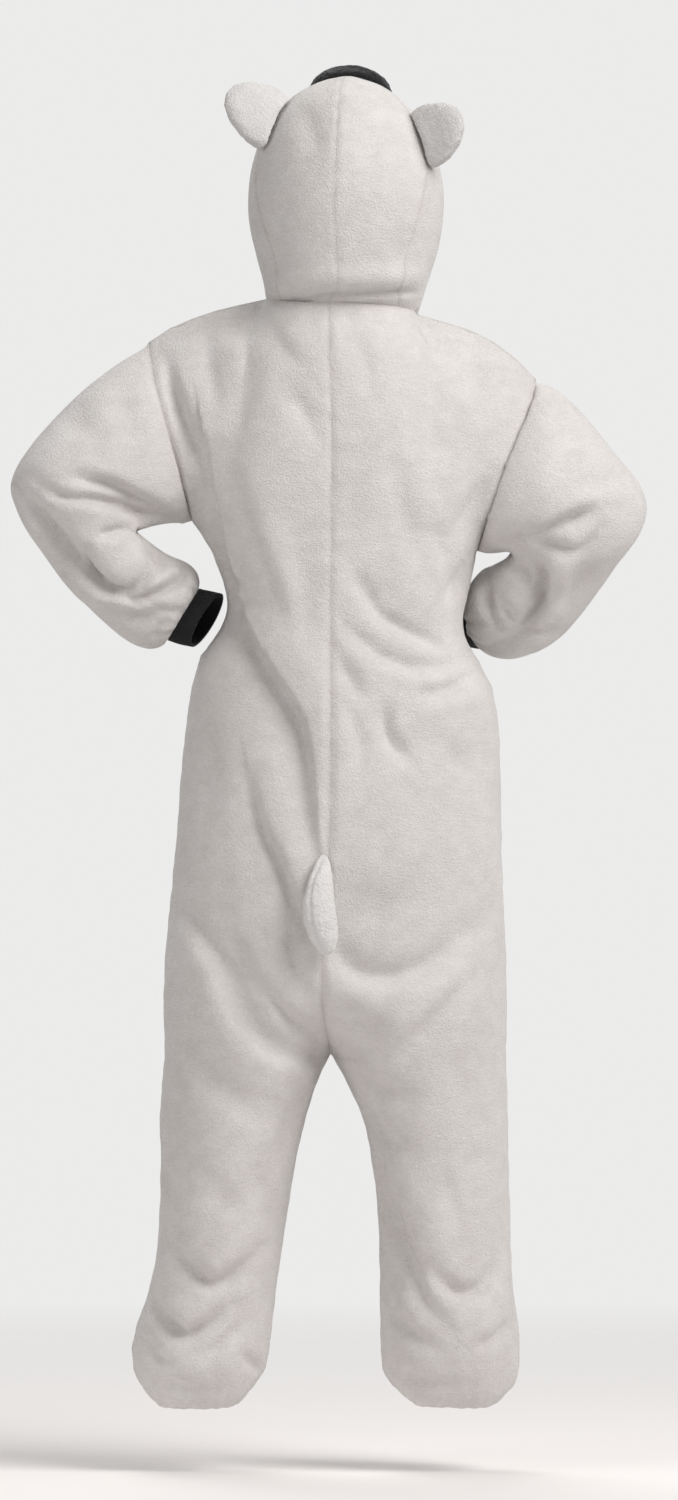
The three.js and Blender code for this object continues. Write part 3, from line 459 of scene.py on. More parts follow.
def sewnEdges(piece):
    # for each point, the distance to the nearest sewn edge, that edge point and the edge's way out
    sewn = np.zeros(len(piece.data.vertices), np.float32)
    piece.data.attributes["sewn"].data.foreach_get("value", sewn)
    shape = bmesh.new()
    shape.from_mesh(piece.data)
    shape.normal_update()
    ways = np.zeros((len(shape.verts), 3))
    tree = KDTree(len(shape.verts))
    for edge in shape.edges:
        first, second = edge.verts
        if not edge.is_boundary or min(sewn[first.index], sewn[second.index]) < 0.99:
            continue
        face = edge.link_faces[0]
        out = (second.co - first.co).cross(face.normal).normalized()
        if out.dot(face.calc_center_median() - first.co) > 0:
            out = -out
        for vertex in edge.verts:
            ways[vertex.index] += np.array(out)
            tree.insert(vertex.co, vertex.index)
    tree.balance()
    if not ways.any():
        print("no sewn edge on", piece.name)
        shape.free()
        return np.ones(len(ways)), np.arange(len(ways)), ways
    found = [tree.find(vertex.co) for vertex in shape.verts]
    shape.free()
    sizes = np.linalg.norm(ways, axis=1, keepdims=True)
    distances = np.array([hit[2] for hit in found])
    nearest = np.array([hit[1] for hit in found])
    return distances, nearest, ways / np.maximum(sizes, 1e-9)


def keepAttribute(piece, name, values):
    layer = piece.data.attributes.new(name, "FLOAT", "POINT")
    layer.data.foreach_set("value", np.asarray(values, np.float32))


def finishSheet(piece, nodeName, material, wall):
    useModifier(piece, "SOLIDIFY", thickness=wall, offset=-1, use_even_offset=False, use_rim=True)
    pickOnly(piece)
    bpy.ops.object.shade_smooth_by_angle(angle=1.0)
    piece.data.materials.clear()
    piece.data.materials.append(material)
    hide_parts(nodeName)
    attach(piece, "root")


def cornerTree(nodeNames):
    # every corner of the cloth solids, with the name of its solid
    corners = []
    for name in nodeNames:
        corners += [(vertex.co.copy(), name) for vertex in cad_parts[name].data.vertices]
    tree = KDTree(len(corners))
    for i, (place, _) in enumerate(corners):
        tree.insert(place, i)
    tree.balance()
    return tree, corners


def holdSewnEdges(piece, nodeName, tree, corners):
    # an edge point with a neighbour in another sheet is sewn: it stays where the frame has it, so
    # that the sheets still meet once both are smoothed
    shape = bmesh.new()
    shape.from_mesh(piece.data)
    held = np.zeros(len(shape.verts), np.float32)
    for vertex in shape.verts:
        met = {corners[hit[1]][1] for hit in tree.find_range(vertex.co, 0.002)}
        held[vertex.index] = vertex.is_boundary and len(met - {nodeName}) > 0
    shape.free()
    keepAttribute(piece, "crease_vert", held)
    keepAttribute(piece, "sewn", held)


def smoothThrough(piece, levels):
    # subdivides a sheet so that the smooth surface still passes through its corners
    target, _ = readPoints(piece)
    cage = target.copy()
    for _ in range(2):
        trial = piece.copy()
        trial.data = piece.data.copy()
        bpy.context.scene.collection.objects.link(trial)
        writePoints(trial, cage)
        useModifier(trial, "SUBSURF", levels=2, render_levels=2, boundary_smooth="PRESERVE_CORNERS")
        smoothed, _ = readPoints(trial)
        cage += (target - smoothed[:len(cage)]) * 0.9
        bpy.data.objects.remove(trial)
    writePoints(piece, cage)
    useModifier(piece, "SUBSURF", levels=levels, render_levels=levels, boundary_smooth="PRESERVE_CORNERS")


def startSheet(name, nodeName, look, family, tree, corners):
    piece = outerSheet(name, nodeName)
    holdSewnEdges(piece, nodeName, tree, corners)
    smoothThrough(piece, look["levels"])
    distances, nearest, ways = sewnEdges(piece)
    for layer in ("crease_vert", "sewn"):
        if layer in piece.data.attributes:
            piece.data.attributes.remove(piece.data.attributes[layer])
    return {"piece": piece, "node": nodeName, "look": look, "family": family,
            "fromSeam": distances, "nearest": nearest, "wayOut": ways}


def shareSeams(sheets):
    # the mean direction of the cloth on both sides of each seam, and whether it joins two families
    entries = []
    for sheet in sheets:
        points, normals = readPoints(sheet["piece"])
        for i in np.flatnonzero(sheet["fromSeam"] < 1e-6):
            entries.append((points[i], normals[i], sheet["family"]))
    tree = KDTree(len(entries))
    for i, (point, _, _) in enumerate(entries):
        tree.insert(point, i)
    tree.balance()
    for sheet in sheets:
        points, normals = readPoints(sheet["piece"])
        shared = normals.copy()
        setIn = np.zeros(len(points))
        for i in np.flatnonzero(sheet["fromSeam"] < 1e-6):
            met = [entries[hit[1]] for hit in tree.find_range(points[i], 0.0016)]
            total = sum(entry[1] for entry in met)
            shared[i] = total / max(np.linalg.norm(total), 1e-9)
            setIn[i] = any(entry[2] != sheet["family"] for entry in met)
        near = np.exp(-(sheet["fromSeam"] / 0.012) ** 2)[:, None]
        mixed = normals * (1 - near) + shared[sheet["nearest"]] * near
        sheet["direction"] = mixed / np.linalg.norm(mixed, axis=1, keepdims=True)
        joinTree = KDTree(max(int(setIn.sum()), 1))
        for i in np.flatnonzero(setIn):
            joinTree.insert(points[i], i)
        joinTree.balance()
        if setIn.any():
            sheet["fromSetIn"] = np.array([joinTree.find(point)[2] for point in points])
        else:
            sheet["fromSetIn"] = np.full(len(points), 1.0)


def noiseAt(points, scale, shift=0.0):
    places = points * np.array(scale) + shift
    return np.array([noise.noise(Vector(place)) for place in places])


def legMiddle(points):
    # the middle of the leg that each point is on
    return np.where(points[:, 0] > 0, hemLook["legLeft"], hemLook["legRight"])


def dipHems(points):
    # the leg hems hang lower behind and rise a little at the sides and in front
    facing = np.cos(np.arctan2(points[:, 0] - legMiddle(points), points[:, 1]))
    near = np.exp(-((points[:, 2] - hemLook["height"]) / hemLook["reach"]) ** 2)
    points[:, 2] += near * (hemLook["rise"] - hemLook["dip"] * smoothStep(-0.1, 0.9, facing))
    return points


def shapeSheet(sheet, folds, extra=None):
    look = sheet["look"]
    points, _ = readPoints(sheet["piece"])
    direction = sheet["direction"]
    fromSeam = sheet["fromSeam"]
    heights = np.zeros(len(points))
    for face, rows in folds.items():
        heights += foldHeights(points, direction, face, rows)
    heights *= 0.45 + 0.55 * smoothStep(0, 0.012, fromSeam)
    heights *= smoothStep(0, 0.016, sheet["fromSetIn"])
    inner = smoothStep(0, 0.03, fromSeam)
    soft = noiseAt(points, (9, 9, 6))
    small = noiseAt(points, (31, 31, 24), 5.0)
    heights += (soft + small * 0.35) * look["unevenness"] * inner / 1000
    pucker = noiseAt(points, (62, 62, 62))
    besideSeam = np.exp(-(fromSeam / 0.016) ** 2) * smoothStep(0, 0.004, fromSeam)
    heights += pucker * look["pucker"] / 1000 * besideSeam
    heights -= look["seamDepth"] / 1000 * np.exp(-(fromSeam / 0.0038) ** 2)
    if extra is not None:
        heights += extra(points, sheet)
    aboveHem = smoothStep(-1.316, -1.300, points[:, 2])[:, None]
    points = points + direction * heights[:, None] + sheet["wayOut"] * seamOverlap * aboveHem
    writePoints(sheet["piece"], dipHems(points))
    # painted shade for the seam grooves: a mask that darkens the plush colour close to each seam
    keepAttribute(sheet["piece"], "paintedSeamShade", np.exp(-(fromSeam / 0.0024) ** 2))


# Body
bodyLook = {"levels": 3, "unevenness": 2.6, "pucker": 1.3, "seamDepth": 1.5}
hemLook = {
    "legLeft": 0.159,             # the middle of each leg, and the heights below, in metres
    "legRight": -0.1485,
    "height": -1.32,
    "reach": 0.028,
    "rise": 0.008,
    "dip": 0.016,
    "pleat": 0.9,                 # millimetres
    "pleatHeight": -1.302,
    "pleatReach": 0.022,
}
shoulderLook = {"fill": 12, "middle": -0.004, "aside": 0.108, "width": 0.030, "height": -0.062,
                "reach": 0.046}
# the sizes of a fold are in millimetres, and the points of its line are (x, z)
backFolds = [
    # the blouse of the upper back hangs over the left hip along this edge
    {"line": [(151, -162), (143, -210), (131, -258), (119, -312), (102, -373), (76, -428), (50, -467),
              (29, -512), (22, -570), (18, -630), (11, -664)],
     "width": 10, "depth": 2, "lip": -6, "fall": 7, "reach": 4, "crisp": True},
    {"line": [(98, -560), (86, -617), (66, -668), (37, -732), (23, -774)],
     "width": 9, "depth": 6, "lip": -5, "fall": 2},
    {"line": [(157, -474), (151, -570), (136, -654)], "width": 20, "depth": 3},
    # swoops from the left thigh to the crotch
    {"line": [(196, -712), (162, -750), (138, -781), (119, -816), (102, -852), (74, -884), (37, -898),
              (6, -901)],
     "width": 12, "depth": 8, "lip": 5, "fall": 6, "reach": 5},
    {"line": [(86, -810), (66, -841), (42, -865), (16, -877)], "width": 10, "depth": 6, "lip": 2},
    {"line": [(119, -750), (102, -793), (83, -834)], "width": 12, "depth": 4, "lip": -2},
    {"line": [(40, -714), (30, -744), (20, -769)], "width": 10, "depth": 4},
    {"line": [(54, -678), (49, -738), (37, -798), (18, -834)], "width": 13, "depth": 4, "lip": -3},
    {"line": [(181, -846), (157, -906), (109, -954), (49, -966)], "width": 18, "depth": 4, "lip": 2},
    # waist and right side
    {"line": [(-8, -376), (-35, -404), (-68, -426), (-115, -437), (-150, -430), (-172, -416)],
     "width": 12, "depth": 5, "lip": 3},
    {"line": [(-37, -342), (-61, -374), (-98, -395), (-140, -416)], "width": 9, "depth": 5, "lip": 2},
    {"line": [(-98, -467), (-121, -467), (-150, -458), (-179, -436)], "width": 11, "depth": 7, "lip": 4},
    {"line": [(-64, -481), (-70, -516), (-95, -548)], "width": 9, "depth": 7, "lip": -2},
    {"line": [(-20, -481), (-37, -524), (-30, -577)], "width": 10, "depth": 4},
    {"line": [(-23, -313), (-42, -342), (-59, -359)], "width": 12, "depth": 3},
    {"line": [(-11, -420), (-25, -450), (-35, -474)], "width": 12, "depth": 4, "lip": -2},
    {"line": [(-119, -522), (-155, -546), (-191, -541)], "width": 18, "depth": 3},
    {"line": [(-167, -474), (-184, -546), (-186, -618)], "width": 18, "depth": 3},
    # seat and right thigh
    {"line": [(0, -764), (-17, -784), (-44, -798), (-86, -803), (-144, -775), (-198, -720)],
     "width": 18, "depth": 8, "lip": 6},
    {"line": [(-17, -690), (-59, -720), (-119, -714)], "width": 22, "depth": 4},
    {"line": [(-88, -894), (-116, -863), (-143, -834), (-188, -774)], "width": 13, "depth": 5, "lip": -3},
    {"line": [(-23, -908), (-59, -937), (-107, -949)], "width": 15, "depth": 4, "lip": -2},
    {"line": [(-16, -834), (-42, -863), (-73, -870)], "width": 14, "depth": 4, "lip": 2},
    # upper back
    {"line": [(198, -68), (188, -104), (174, -148), (157, -188)], "width": 9, "depth": 7, "lip": -4},
    {"line": [(150, -25), (144, -78), (140, -138)], "width": 11, "depth": 2.5},
    {"line": [(109, -20), (97, -66), (88, -114)], "width": 13, "depth": 1.5},
    {"line": [(76, -20), (56, -49), (30, -78)], "width": 12, "depth": 1.5, "lip": -2},
    {"line": [(48, -110), (30, -138), (16, -169)], "width": 13, "depth": 3},
    {"line": [(92, -270), (74, -332), (52, -390)], "width": 15, "depth": 4, "lip": -2},
    {"line": [(114, -198), (102, -258), (88, -306)], "width": 13, "depth": 3},
    {"line": [(37, -282), (30, -354), (23, -426)], "width": 15, "depth": 3},
    {"line": [(-25, -30), (-42, -68), (-49, -114)], "width": 14, "depth": 3},
    {"line": [(-88, -30), (-107, -73), (-112, -126)], "width": 15, "depth": 3},
    {"line": [(-70, -176), (-92, -258), (-104, -325)], "width": 16, "depth": 4},
    {"line": [(-119, -258), (-138, -306), (-145, -354)], "width": 14, "depth": 4},
    {"line": [(-190, -200), (-162, -253), (-138, -292)], "width": 13, "depth": 5, "lip": 3},
    {"line": [(-167, -306), (-152, -336), (-131, -354)], "width": 11, "depth": 5, "lip": 2},
    {"line": [(-179, -42), (-174, -90), (-164, -126)], "width": 15, "depth": 3},
    {"line": [(138, -306), (119, -330), (97, -342)], "width": 11, "depth": 5, "lip": 2},
    {"line": [(124, -352), (109, -361), (83, -359)], "width": 9, "depth": 4},
    # left leg
    {"line": [(190, -1117), (174, -1144), (151, -1165), (131, -1168), (107, -1153), (83, -1129)],
     "width": 11, "depth": 7, "lip": -5},
    {"line": [(215, -1189), (203, -1208), (174, -1230), (150, -1220), (119, -1199)],
     "width": 10, "depth": 9, "lip": -6},
    {"line": [(150, -1256), (128, -1242), (104, -1218)], "width": 9, "depth": 5, "lip": 2},
    {"line": [(205, -1283), (174, -1295), (140, -1295)], "width": 8, "depth": 4},
    {"line": [(222, -1230), (208, -1256), (186, -1271)], "width": 9, "depth": 5, "lip": -2},
    {"line": [(97, -1026), (76, -1074), (71, -1122)], "width": 14, "depth": 4},
    {"line": [(191, -966), (179, -1026), (181, -1074)], "width": 16, "depth": 3},
    {"line": [(109, -1254), (95, -1268), (83, -1280)], "width": 8, "depth": 4},
    {"line": [(37, -942), (54, -990), (73, -1050)], "width": 13, "depth": 4, "lip": -2},
    {"line": [(145, -1050), (121, -1074), (97, -1079)], "width": 16, "depth": 3},
    # right leg
    {"line": [(-37, -964), (-52, -1014), (-62, -1062), (-83, -1105), (-97, -1154), (-114, -1194),
              (-143, -1225)],
     "width": 12, "depth": 7, "lip": -5},
    {"line": [(-118, -1151), (-136, -1170), (-157, -1181), (-184, -1170), (-210, -1129)],
     "width": 11, "depth": 7, "lip": 4},
    {"line": [(-40, -968), (-60, -992), (-95, -1013)], "width": 12, "depth": 5, "lip": -2},
    {"line": [(-66, -1182), (-83, -1220), (-121, -1249)], "width": 10, "depth": 6, "lip": -3},
    {"line": [(-80, -1276), (-116, -1288), (-162, -1290)], "width": 8, "depth": 4},
    {"line": [(-217, -1213), (-196, -1237), (-169, -1244)], "width": 10, "depth": 5, "lip": 2},
    {"line": [(-184, -990), (-174, -1038), (-176, -1081)], "width": 16, "depth": 3},
    {"line": [(-131, -1038), (-150, -1074), (-155, -1117)], "width": 15, "depth": 3},
    {"line": [(-71, -1122), (-73, -1158), (-83, -1189)], "width": 10, "depth": 4},
]
frontFolds = [
    {"line": [(-150, -190), (-120, -270), (-80, -360), (-50, -440)], "width": 13, "depth": 4, "lip": 4},
    {"line": [(140, -230), (112, -300), (60, -420)], "width": 13, "depth": 4, "lip": -4},
    {"line": [(-155, -380), (-120, -392), (-90, -420), (-70, -470)], "width": 11, "depth": 5, "lip": 3},
    {"line": [(122, -366), (100, -380), (76, -420)], "width": 11, "depth": 5, "lip": -3},
    {"line": [(60, -60), (44, -90), (32, -130)], "width": 13, "depth": 3},
    {"line": [(-80, -66), (-56, -100), (-36, -150)], "width": 13, "depth": 3},
    {"line": [(185, -110), (172, -160), (150, -200)], "width": 13, "depth": 4},
    {"line": [(-205, -150), (-190, -200), (-160, -240)], "width": 13, "depth": 4},
    {"line": [(-150, -560), (-110, -600), (-70, -660)], "width": 15, "depth": 3},
    {"line": [(140, -520), (100, -590), (60, -640)], "width": 15, "depth": 3},
    {"line": [(-150, -760), (-100, -820), (-50, -862), (-10, -880)], "width": 12, "depth": 6, "lip": 3},
    {"line": [(150, -740), (104, -800), (50, -850), (12, -870)], "width": 12, "depth": 6, "lip": -3},
    {"line": [(-120, -860), (-70, -892), (-24, -905)], "width": 11, "depth": 4, "lip": 2},
    {"line": [(120, -850), (70, -886), (24, -902)], "width": 11, "depth": 4, "lip": -2},
    {"line": [(190, -1090), (140, -1135), (80, -1100)], "width": 12, "depth": 5, "lip": -3},
    {"line": [(215, -1195), (160, -1245), (95, -1210)], "width": 11, "depth": 7, "lip": -4},
    {"line": [(190, -1280), (150, -1294), (110, -1286)], "width": 9, "depth": 4},
    {"line": [(-200, -1080), (-150, -1125), (-80, -1085)], "width": 12, "depth": 5, "lip": 3},
    {"line": [(-215, -1200), (-150, -1250), (-80, -1205)], "width": 11, "depth": 7, "lip": 4},
    {"line": [(-190, -1284), (-140, -1296), (-90, -1284)], "width": 9, "depth": 4},
    {"line": [(-180, -960), (-160, -1010), (-164, -1050)], "width": 16, "depth": 3},
    {"line": [(176, -950), (158, -1000), (160, -1040)], "width": 16, "depth": 3},
]


def fillShoulders(points):
    # rounds the cloth out between the neck seam and the upper back
    look = shoulderLook
    aside = np.abs(points[:, 0] - look["middle"])
    besideNeck = np.exp(-((aside - look["aside"]) / look["width"]) ** 2)
    level = np.exp(-((points[:, 2] - look["height"]) / look["reach"]) ** 2)
    return besideNeck * level * smoothStep(0.02, 0.05, points[:, 1]) * look["fill"] / 1000


def gatherBody(points, sheet):
    # the elastic draws the hem into small uneven pleats, and the shoulders are filled out
    angle = np.arctan2(points[:, 1], points[:, 0] - legMiddle(points))
    turned = np.exp(-((points[:, 2] - hemLook["pleatHeight"]) / hemLook["pleatReach"]) ** 2)
    waves = np.sin(angle * 17 + np.sin(angle * 3) * 1.7) * 0.6 + np.sin(angle * 29 + 1.3) * 0.4
    pleats = waves * turned * hemLook["pleat"] / 1000
    return pleats + fillShoulders(points) * smoothStep(0, 0.02, sheet["fromSeam"])


# Sleeves
sleeveLook = {"levels": 3, "unevenness": 2.4, "pucker": 1.3, "seamDepth": 1.5, "cuffPleat": 2.2}
cuffMiddles = {"sleeve_left": (0.176, 0.009, -0.371), "sleeve_right": (-0.1785, -0.072, -0.3815)}
sleeveFolds = {
    "back": [
        {"line": [(313, -208), (292, -210), (265, -218), (232, -233), (198, -251)],
         "width": 8, "depth": 7, "lip": -5},
        {"line": [(349, -217), (318, -234), (280, -236), (248, -244), (220, -256), (188, -257)],
         "width": 7, "depth": 8, "lip": 6},
        {"line": [(373, -224), (354, -248), (332, -277), (308, -308), (272, -335), (251, -349)],
         "width": 8, "depth": 10, "lip": 7, "fall": 3, "reach": 3},
        {"line": [(277, -280), (265, -275), (248, -269)], "width": 6, "depth": 5, "lip": 2},
        {"line": [(292, -294), (287, -320), (268, -342), (241, -344), (220, -328), (215, -304)],
         "width": 6, "depth": 7, "lip": 5},
        {"line": [(253, -347), (234, -354), (203, -343), (179, -330), (174, -313)],
         "width": 7, "depth": 8, "lip": -5},
        {"line": [(217, -289), (205, -306), (208, -330)], "width": 7, "depth": 5, "lip": 2},
        {"line": [(282, -354), (246, -376), (210, -380)], "width": 12, "depth": 4, "lip": 2},
        {"line": [(318, -126), (289, -150), (263, -162)], "width": 15, "depth": 3},
        {"line": [(248, -90), (244, -138), (229, -176)], "width": 16, "depth": 3},
        {"line": [(241, -392), (227, -380), (205, -368)], "width": 8, "depth": 4},
        {"line": [(214, -404), (203, -390), (188, -376)], "width": 7, "depth": 4},
        {"line": [(-328, -244), (-304, -253), (-275, -265), (-251, -274), (-229, -277)],
         "width": 9, "depth": 8, "lip": 6},
        {"line": [(-323, -270), (-294, -296), (-257, -289), (-232, -283)],
         "width": 9, "depth": 5, "lip": 5},
        {"line": [(-241, -301), (-254, -325), (-252, -359), (-236, -383), (-224, -392)],
         "width": 8, "depth": 9, "lip": -6, "fall": 3, "reach": 3},
        {"line": [(-192, -332), (-192, -359), (-205, -392)], "width": 7, "depth": 6, "lip": 3},
        {"line": [(-205, -352), (-212, -368), (-222, -385)], "width": 6, "depth": 5, "lip": 2},
        {"line": [(-179, -407), (-203, -409), (-227, -398), (-246, -392), (-275, -392)],
         "width": 8, "depth": 6, "lip": 3},
        {"line": [(-227, -306), (-232, -320), (-239, -335)], "width": 8, "depth": 7, "lip": 2},
        {"line": [(-311, -306), (-289, -342), (-275, -368)], "width": 14, "depth": 4, "lip": 2},
        {"line": [(-347, -198), (-320, -217), (-289, -227)], "width": 14, "depth": 3},
        {"line": [(-280, -128), (-284, -174), (-268, -215)], "width": 15, "depth": 3},
    ],
    "front": [
        {"line": [(320, -215), (275, -236), (210, -250)], "width": 10, "depth": 5, "lip": 3},
        {"line": [(356, -240), (316, -272), (262, -300)], "width": 10, "depth": 5, "lip": 3},
        {"line": [(300, -345), (262, -352), (216, -330)], "width": 9, "depth": 4, "lip": 2},
        {"line": [(250, -110), (244, -160), (226, -200)], "width": 15, "depth": 3},
        {"line": [(-330, -240), (-285, -266), (-225, -285)], "width": 10, "depth": 5, "lip": 3},
        {"line": [(-330, -285), (-285, -320), (-240, -345)], "width": 10, "depth": 5, "lip": -3},
        {"line": [(-290, -380), (-250, -372), (-214, -356)], "width": 9, "depth": 4, "lip": 2},
        {"line": [(-276, -140), (-280, -190), (-258, -225)], "width": 15, "depth": 3},
    ],
}
sleeveBulges = [
    {"centre": (254, -306), "radiusX": 0.036, "radiusZ": 0.034, "height": 9},
    {"centre": (192, -340), "radiusX": 0.030, "radiusZ": 0.026, "height": 6},
    {"centre": (-208, -344), "radiusX": 0.046, "radiusZ": 0.046, "height": 7},
]


def pushUp(points, normals):
    # rounded swellings between the folds below the elbows, on the side seen from behind
    heights = np.zeros(len(points))
    for row in sleeveBulges:
        away = points[:, [0, 2]] - np.array(row["centre"]) / 1000
        reach = np.hypot(away[:, 0] / row["radiusX"], away[:, 1] / row["radiusZ"])
        dome = np.clip(1 - reach ** 2.6, 0, 1) ** 0.8
        heights += dome * row["height"] / 1000 * smoothStep(0.0, 0.5, normals[:, 1])
    return heights


def gatherSleeve(points, sheet):
    # small pleats where the sleeve is gathered to its cuff
    away = points - np.array(cuffMiddles[sheet["node"]])
    reach = np.linalg.norm(away, axis=1)
    angle = np.arctan2(away[:, 1], away[:, 2])
    near = np.exp(-((reach - 0.045) / 0.022) ** 2) * smoothStep(0, 0.006, sheet["fromSeam"])
    waves = np.sin(angle * 11 + np.sin(angle * 2) * 1.4) * 0.6 + np.sin(angle * 19 + 0.8) * 0.4
    return waves * near * sleeveLook["cuffPleat"] / 1000 + pushUp(points, sheet["direction"])


# Hood
hoodLook = {"levels": 3, "unevenness": 2.0, "pucker": 1.2, "seamDepth": 1.5}
# millimetres above the neck seam, which slopes across the back
rollLook = {"belly": 5, "bellyHeight": 26, "bellyReach": 13, "tuck": 6, "tuckHeight": 6, "tuckReach": 4.5,
            "slope": 0.06}
hoodFolds = {
    "back": [
        {"line": [(76, 34), (66, 62), (64, 96)], "width": 16, "depth": 2},
        {"line": [(-84, 30), (-78, 60), (-80, 90)], "width": 16, "depth": 2},
        {"line": [(40, 230), (24, 205), (16, 170)], "width": 14, "depth": 2.5},
        {"line": [(-70, 215), (-52, 190), (-46, 150)], "width": 14, "depth": 2.5},
    ],
    "front": [
        {"line": [(70, 40), (64, 66), (66, 96)], "width": 14, "depth": 2},
        {"line": [(-96, 40), (-92, 70), (-98, 100)], "width": 14, "depth": 2},
    ],
}


def rollHood(points, sheet):
    # the hood bellies over its neck seam and folds in under itself
    look = rollLook
    height = (points[:, 2] + points[:, 0] * look["slope"]) * 1000
    behind = smoothStep(0.02, 0.07, points[:, 1])
    belly = np.exp(-((height - look["bellyHeight"]) / look["bellyReach"]) ** 2) * look["belly"]
    tuck = np.exp(-((height - look["tuckHeight"]) / look["tuckReach"]) ** 2) * look["tuck"]
    return (belly - tuck) * behind * smoothStep(0, 5, height) / 1000


# Cuffs
cuffLook = {"levels": 4, "ribs": 58, "ribDepth": 0.9, "unevenness": 0.4, "pucker": 0.2, "seamDepth": 0.5}


def knitCuff(points, sheet):
    # ribs run along the sleeve, so they rise and fall with the angle round its end
    middle = points.mean(0)
    spread = np.linalg.svd(points - middle, full_matrices=False)[2]
    flat = (points - middle) @ spread.T
    scale = flat.std(0)
    first = np.arctan2(flat[:, 1] / scale[1], flat[:, 0] / scale[0])
    second = np.arctan2(flat[:, 2] / scale[2], flat[:, 0] / scale[0])
    angle = first if scale[2] < scale[1] else second
    return np.sin(angle * cuffLook["ribs"]) * cuffLook["ribDepth"] / 2000


# Front band
bandLook = {"levels": 2, "unevenness": 0.5, "pucker": 0.5, "seamDepth": 0.4, "wall": 0.0025}

# Every sheet of cloth
cutSizes = {                      # metres, the area in square metres
    "back_left": {"width": 0.30, "length": 1.40, "area": 0.36},
    "back_right": {"width": 0.31, "length": 1.40, "area": 0.38},
    "front_left": {"width": 0.30, "length": 1.36, "area": 0.36},
    "front_right": {"width": 0.31, "length": 1.36, "area": 0.37},
    "sleeve_left": {"width": 0.46, "length": 0.47, "area": 0.16},
    "sleeve_right": {"width": 0.46, "length": 0.47, "area": 0.16},
    "hood_back_left": {"width": 0.14, "length": 0.33, "area": 0.034},
    "hood_back_right": {"width": 0.145, "length": 0.33, "area": 0.035},
    "hood_front_left": {"width": 0.24, "length": 0.32, "area": 0.055},
    "hood_front_right": {"width": 0.24, "length": 0.32, "area": 0.057},
    "cuff_left": {"width": 0.205, "length": 0.045, "area": 0.0092},
    "cuff_right": {"width": 0.205, "length": 0.045, "area": 0.0092},
    "front_band": {"width": 0.05, "length": 0.62, "area": 0.031},
}


def makeSheets():
    # look, family, folds and the form of its own that each kind of sheet has
    plans = {
        "back": (bodyLook, "body", {"back": backFolds}, gatherBody),
        "front_left": (bodyLook, "body", {"front": frontFolds}, gatherBody),
        "front_right": (bodyLook, "body", {"front": frontFolds}, gatherBody),
        "front_band": (bandLook, "band", {}, None),
        "sleeve": (sleeveLook, "sleeve", sleeveFolds, gatherSleeve),
        "hood": (hoodLook, "hood", hoodFolds, rollHood),
        "cuff": (cuffLook, "cuff", {}, knitCuff),
    }
    sheets = []
    tree, corners = cornerTree(cutSizes)
    for nodeName in cutSizes:
        plan = next(plans[key] for key in plans if nodeName.startswith(key))
        sheet = startSheet(nodeName + "_cloth", nodeName, plan[0], plan[1], tree, corners)
        sheet["plan"] = plan
        sheets.append(sheet)
    shareSeams(sheets)
    for sheet in sheets:
        look, family, folds, extra = sheet["plan"]
        shapeSheet(sheet, folds, extra)
        isCuff = family == "cuff"
        finishSheet(sheet["piece"], sheet["node"], blackRib if isCuff else greyPlush,
                    look.get("wall", 0.003))
    print("cloth made:", len(sheets), "sheets")


makeSheets()

# Buttons
buttonLook = {
    "radius": 0.0115,
    "thickness": 0.004,
    "sides": 48,
    "rim": 0.0018,
    "slope": 0.0012,              # from the rim down to the bowl
    "bowlDepth": 0.0011,
    "holeRadius": 0.0012,
    "holeSpread": 0.0024,
    "threadRadius": 0.0006,
    "threadHeight": 0.0011,
    "threadCrown": 0.0008,
}


def nodeAxis(nodeName):
    # middle and facing direction of a disc in the frame
    points, _ = readPoints(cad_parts[nodeName])
    middle = (points.min(0) + points.max(0)) / 2
    axis = np.linalg.svd(points - points.mean(0), full_matrices=False)[2][2]
    if axis[1] > 0:
        axis = -axis
    return Vector(middle), Vector(axis)


def makeButton():
    deselectAll()
    look = buttonLook
    bpy.ops.mesh.primitive_cylinder_add(vertices=look["sides"], radius=look["radius"],
                                        depth=look["thickness"])
    button = bpy.context.object
    button.name = "buttonShape"
    bpy.ops.object.mode_set(mode="EDIT")
    shape = bmesh.from_edit_mesh(button.data)
    bpy.ops.mesh.select_all(action="DESELECT")
    shape.faces.ensure_lookup_table()
    top = max(shape.faces, key=lambda face: face.calc_center_median().z)
    top.select = True
    bmesh.update_edit_mesh(button.data)
    bpy.ops.mesh.inset(thickness=look["rim"], depth=0)
    bpy.ops.mesh.inset(thickness=look["slope"], depth=-look["bowlDepth"])
    bpy.ops.object.mode_set(mode="OBJECT")
    spread = look["holeSpread"]
    for x, y in ((spread, spread), (-spread, spread), (-spread, -spread), (spread, -spread)):
        deselectAll()
        bpy.ops.mesh.primitive_cylinder_add(vertices=16, radius=look["holeRadius"], depth=0.02,
                                            location=(x, y, 0))
        drill = bpy.context.object
        useModifier(button, "BOOLEAN", operation="DIFFERENCE", object=drill, solver="EXACT")
        bpy.data.objects.remove(drill)
    useModifier(button, "BEVEL", width=0.0004, segments=2, limit_method="ANGLE", angle_limit=0.9)
    return button


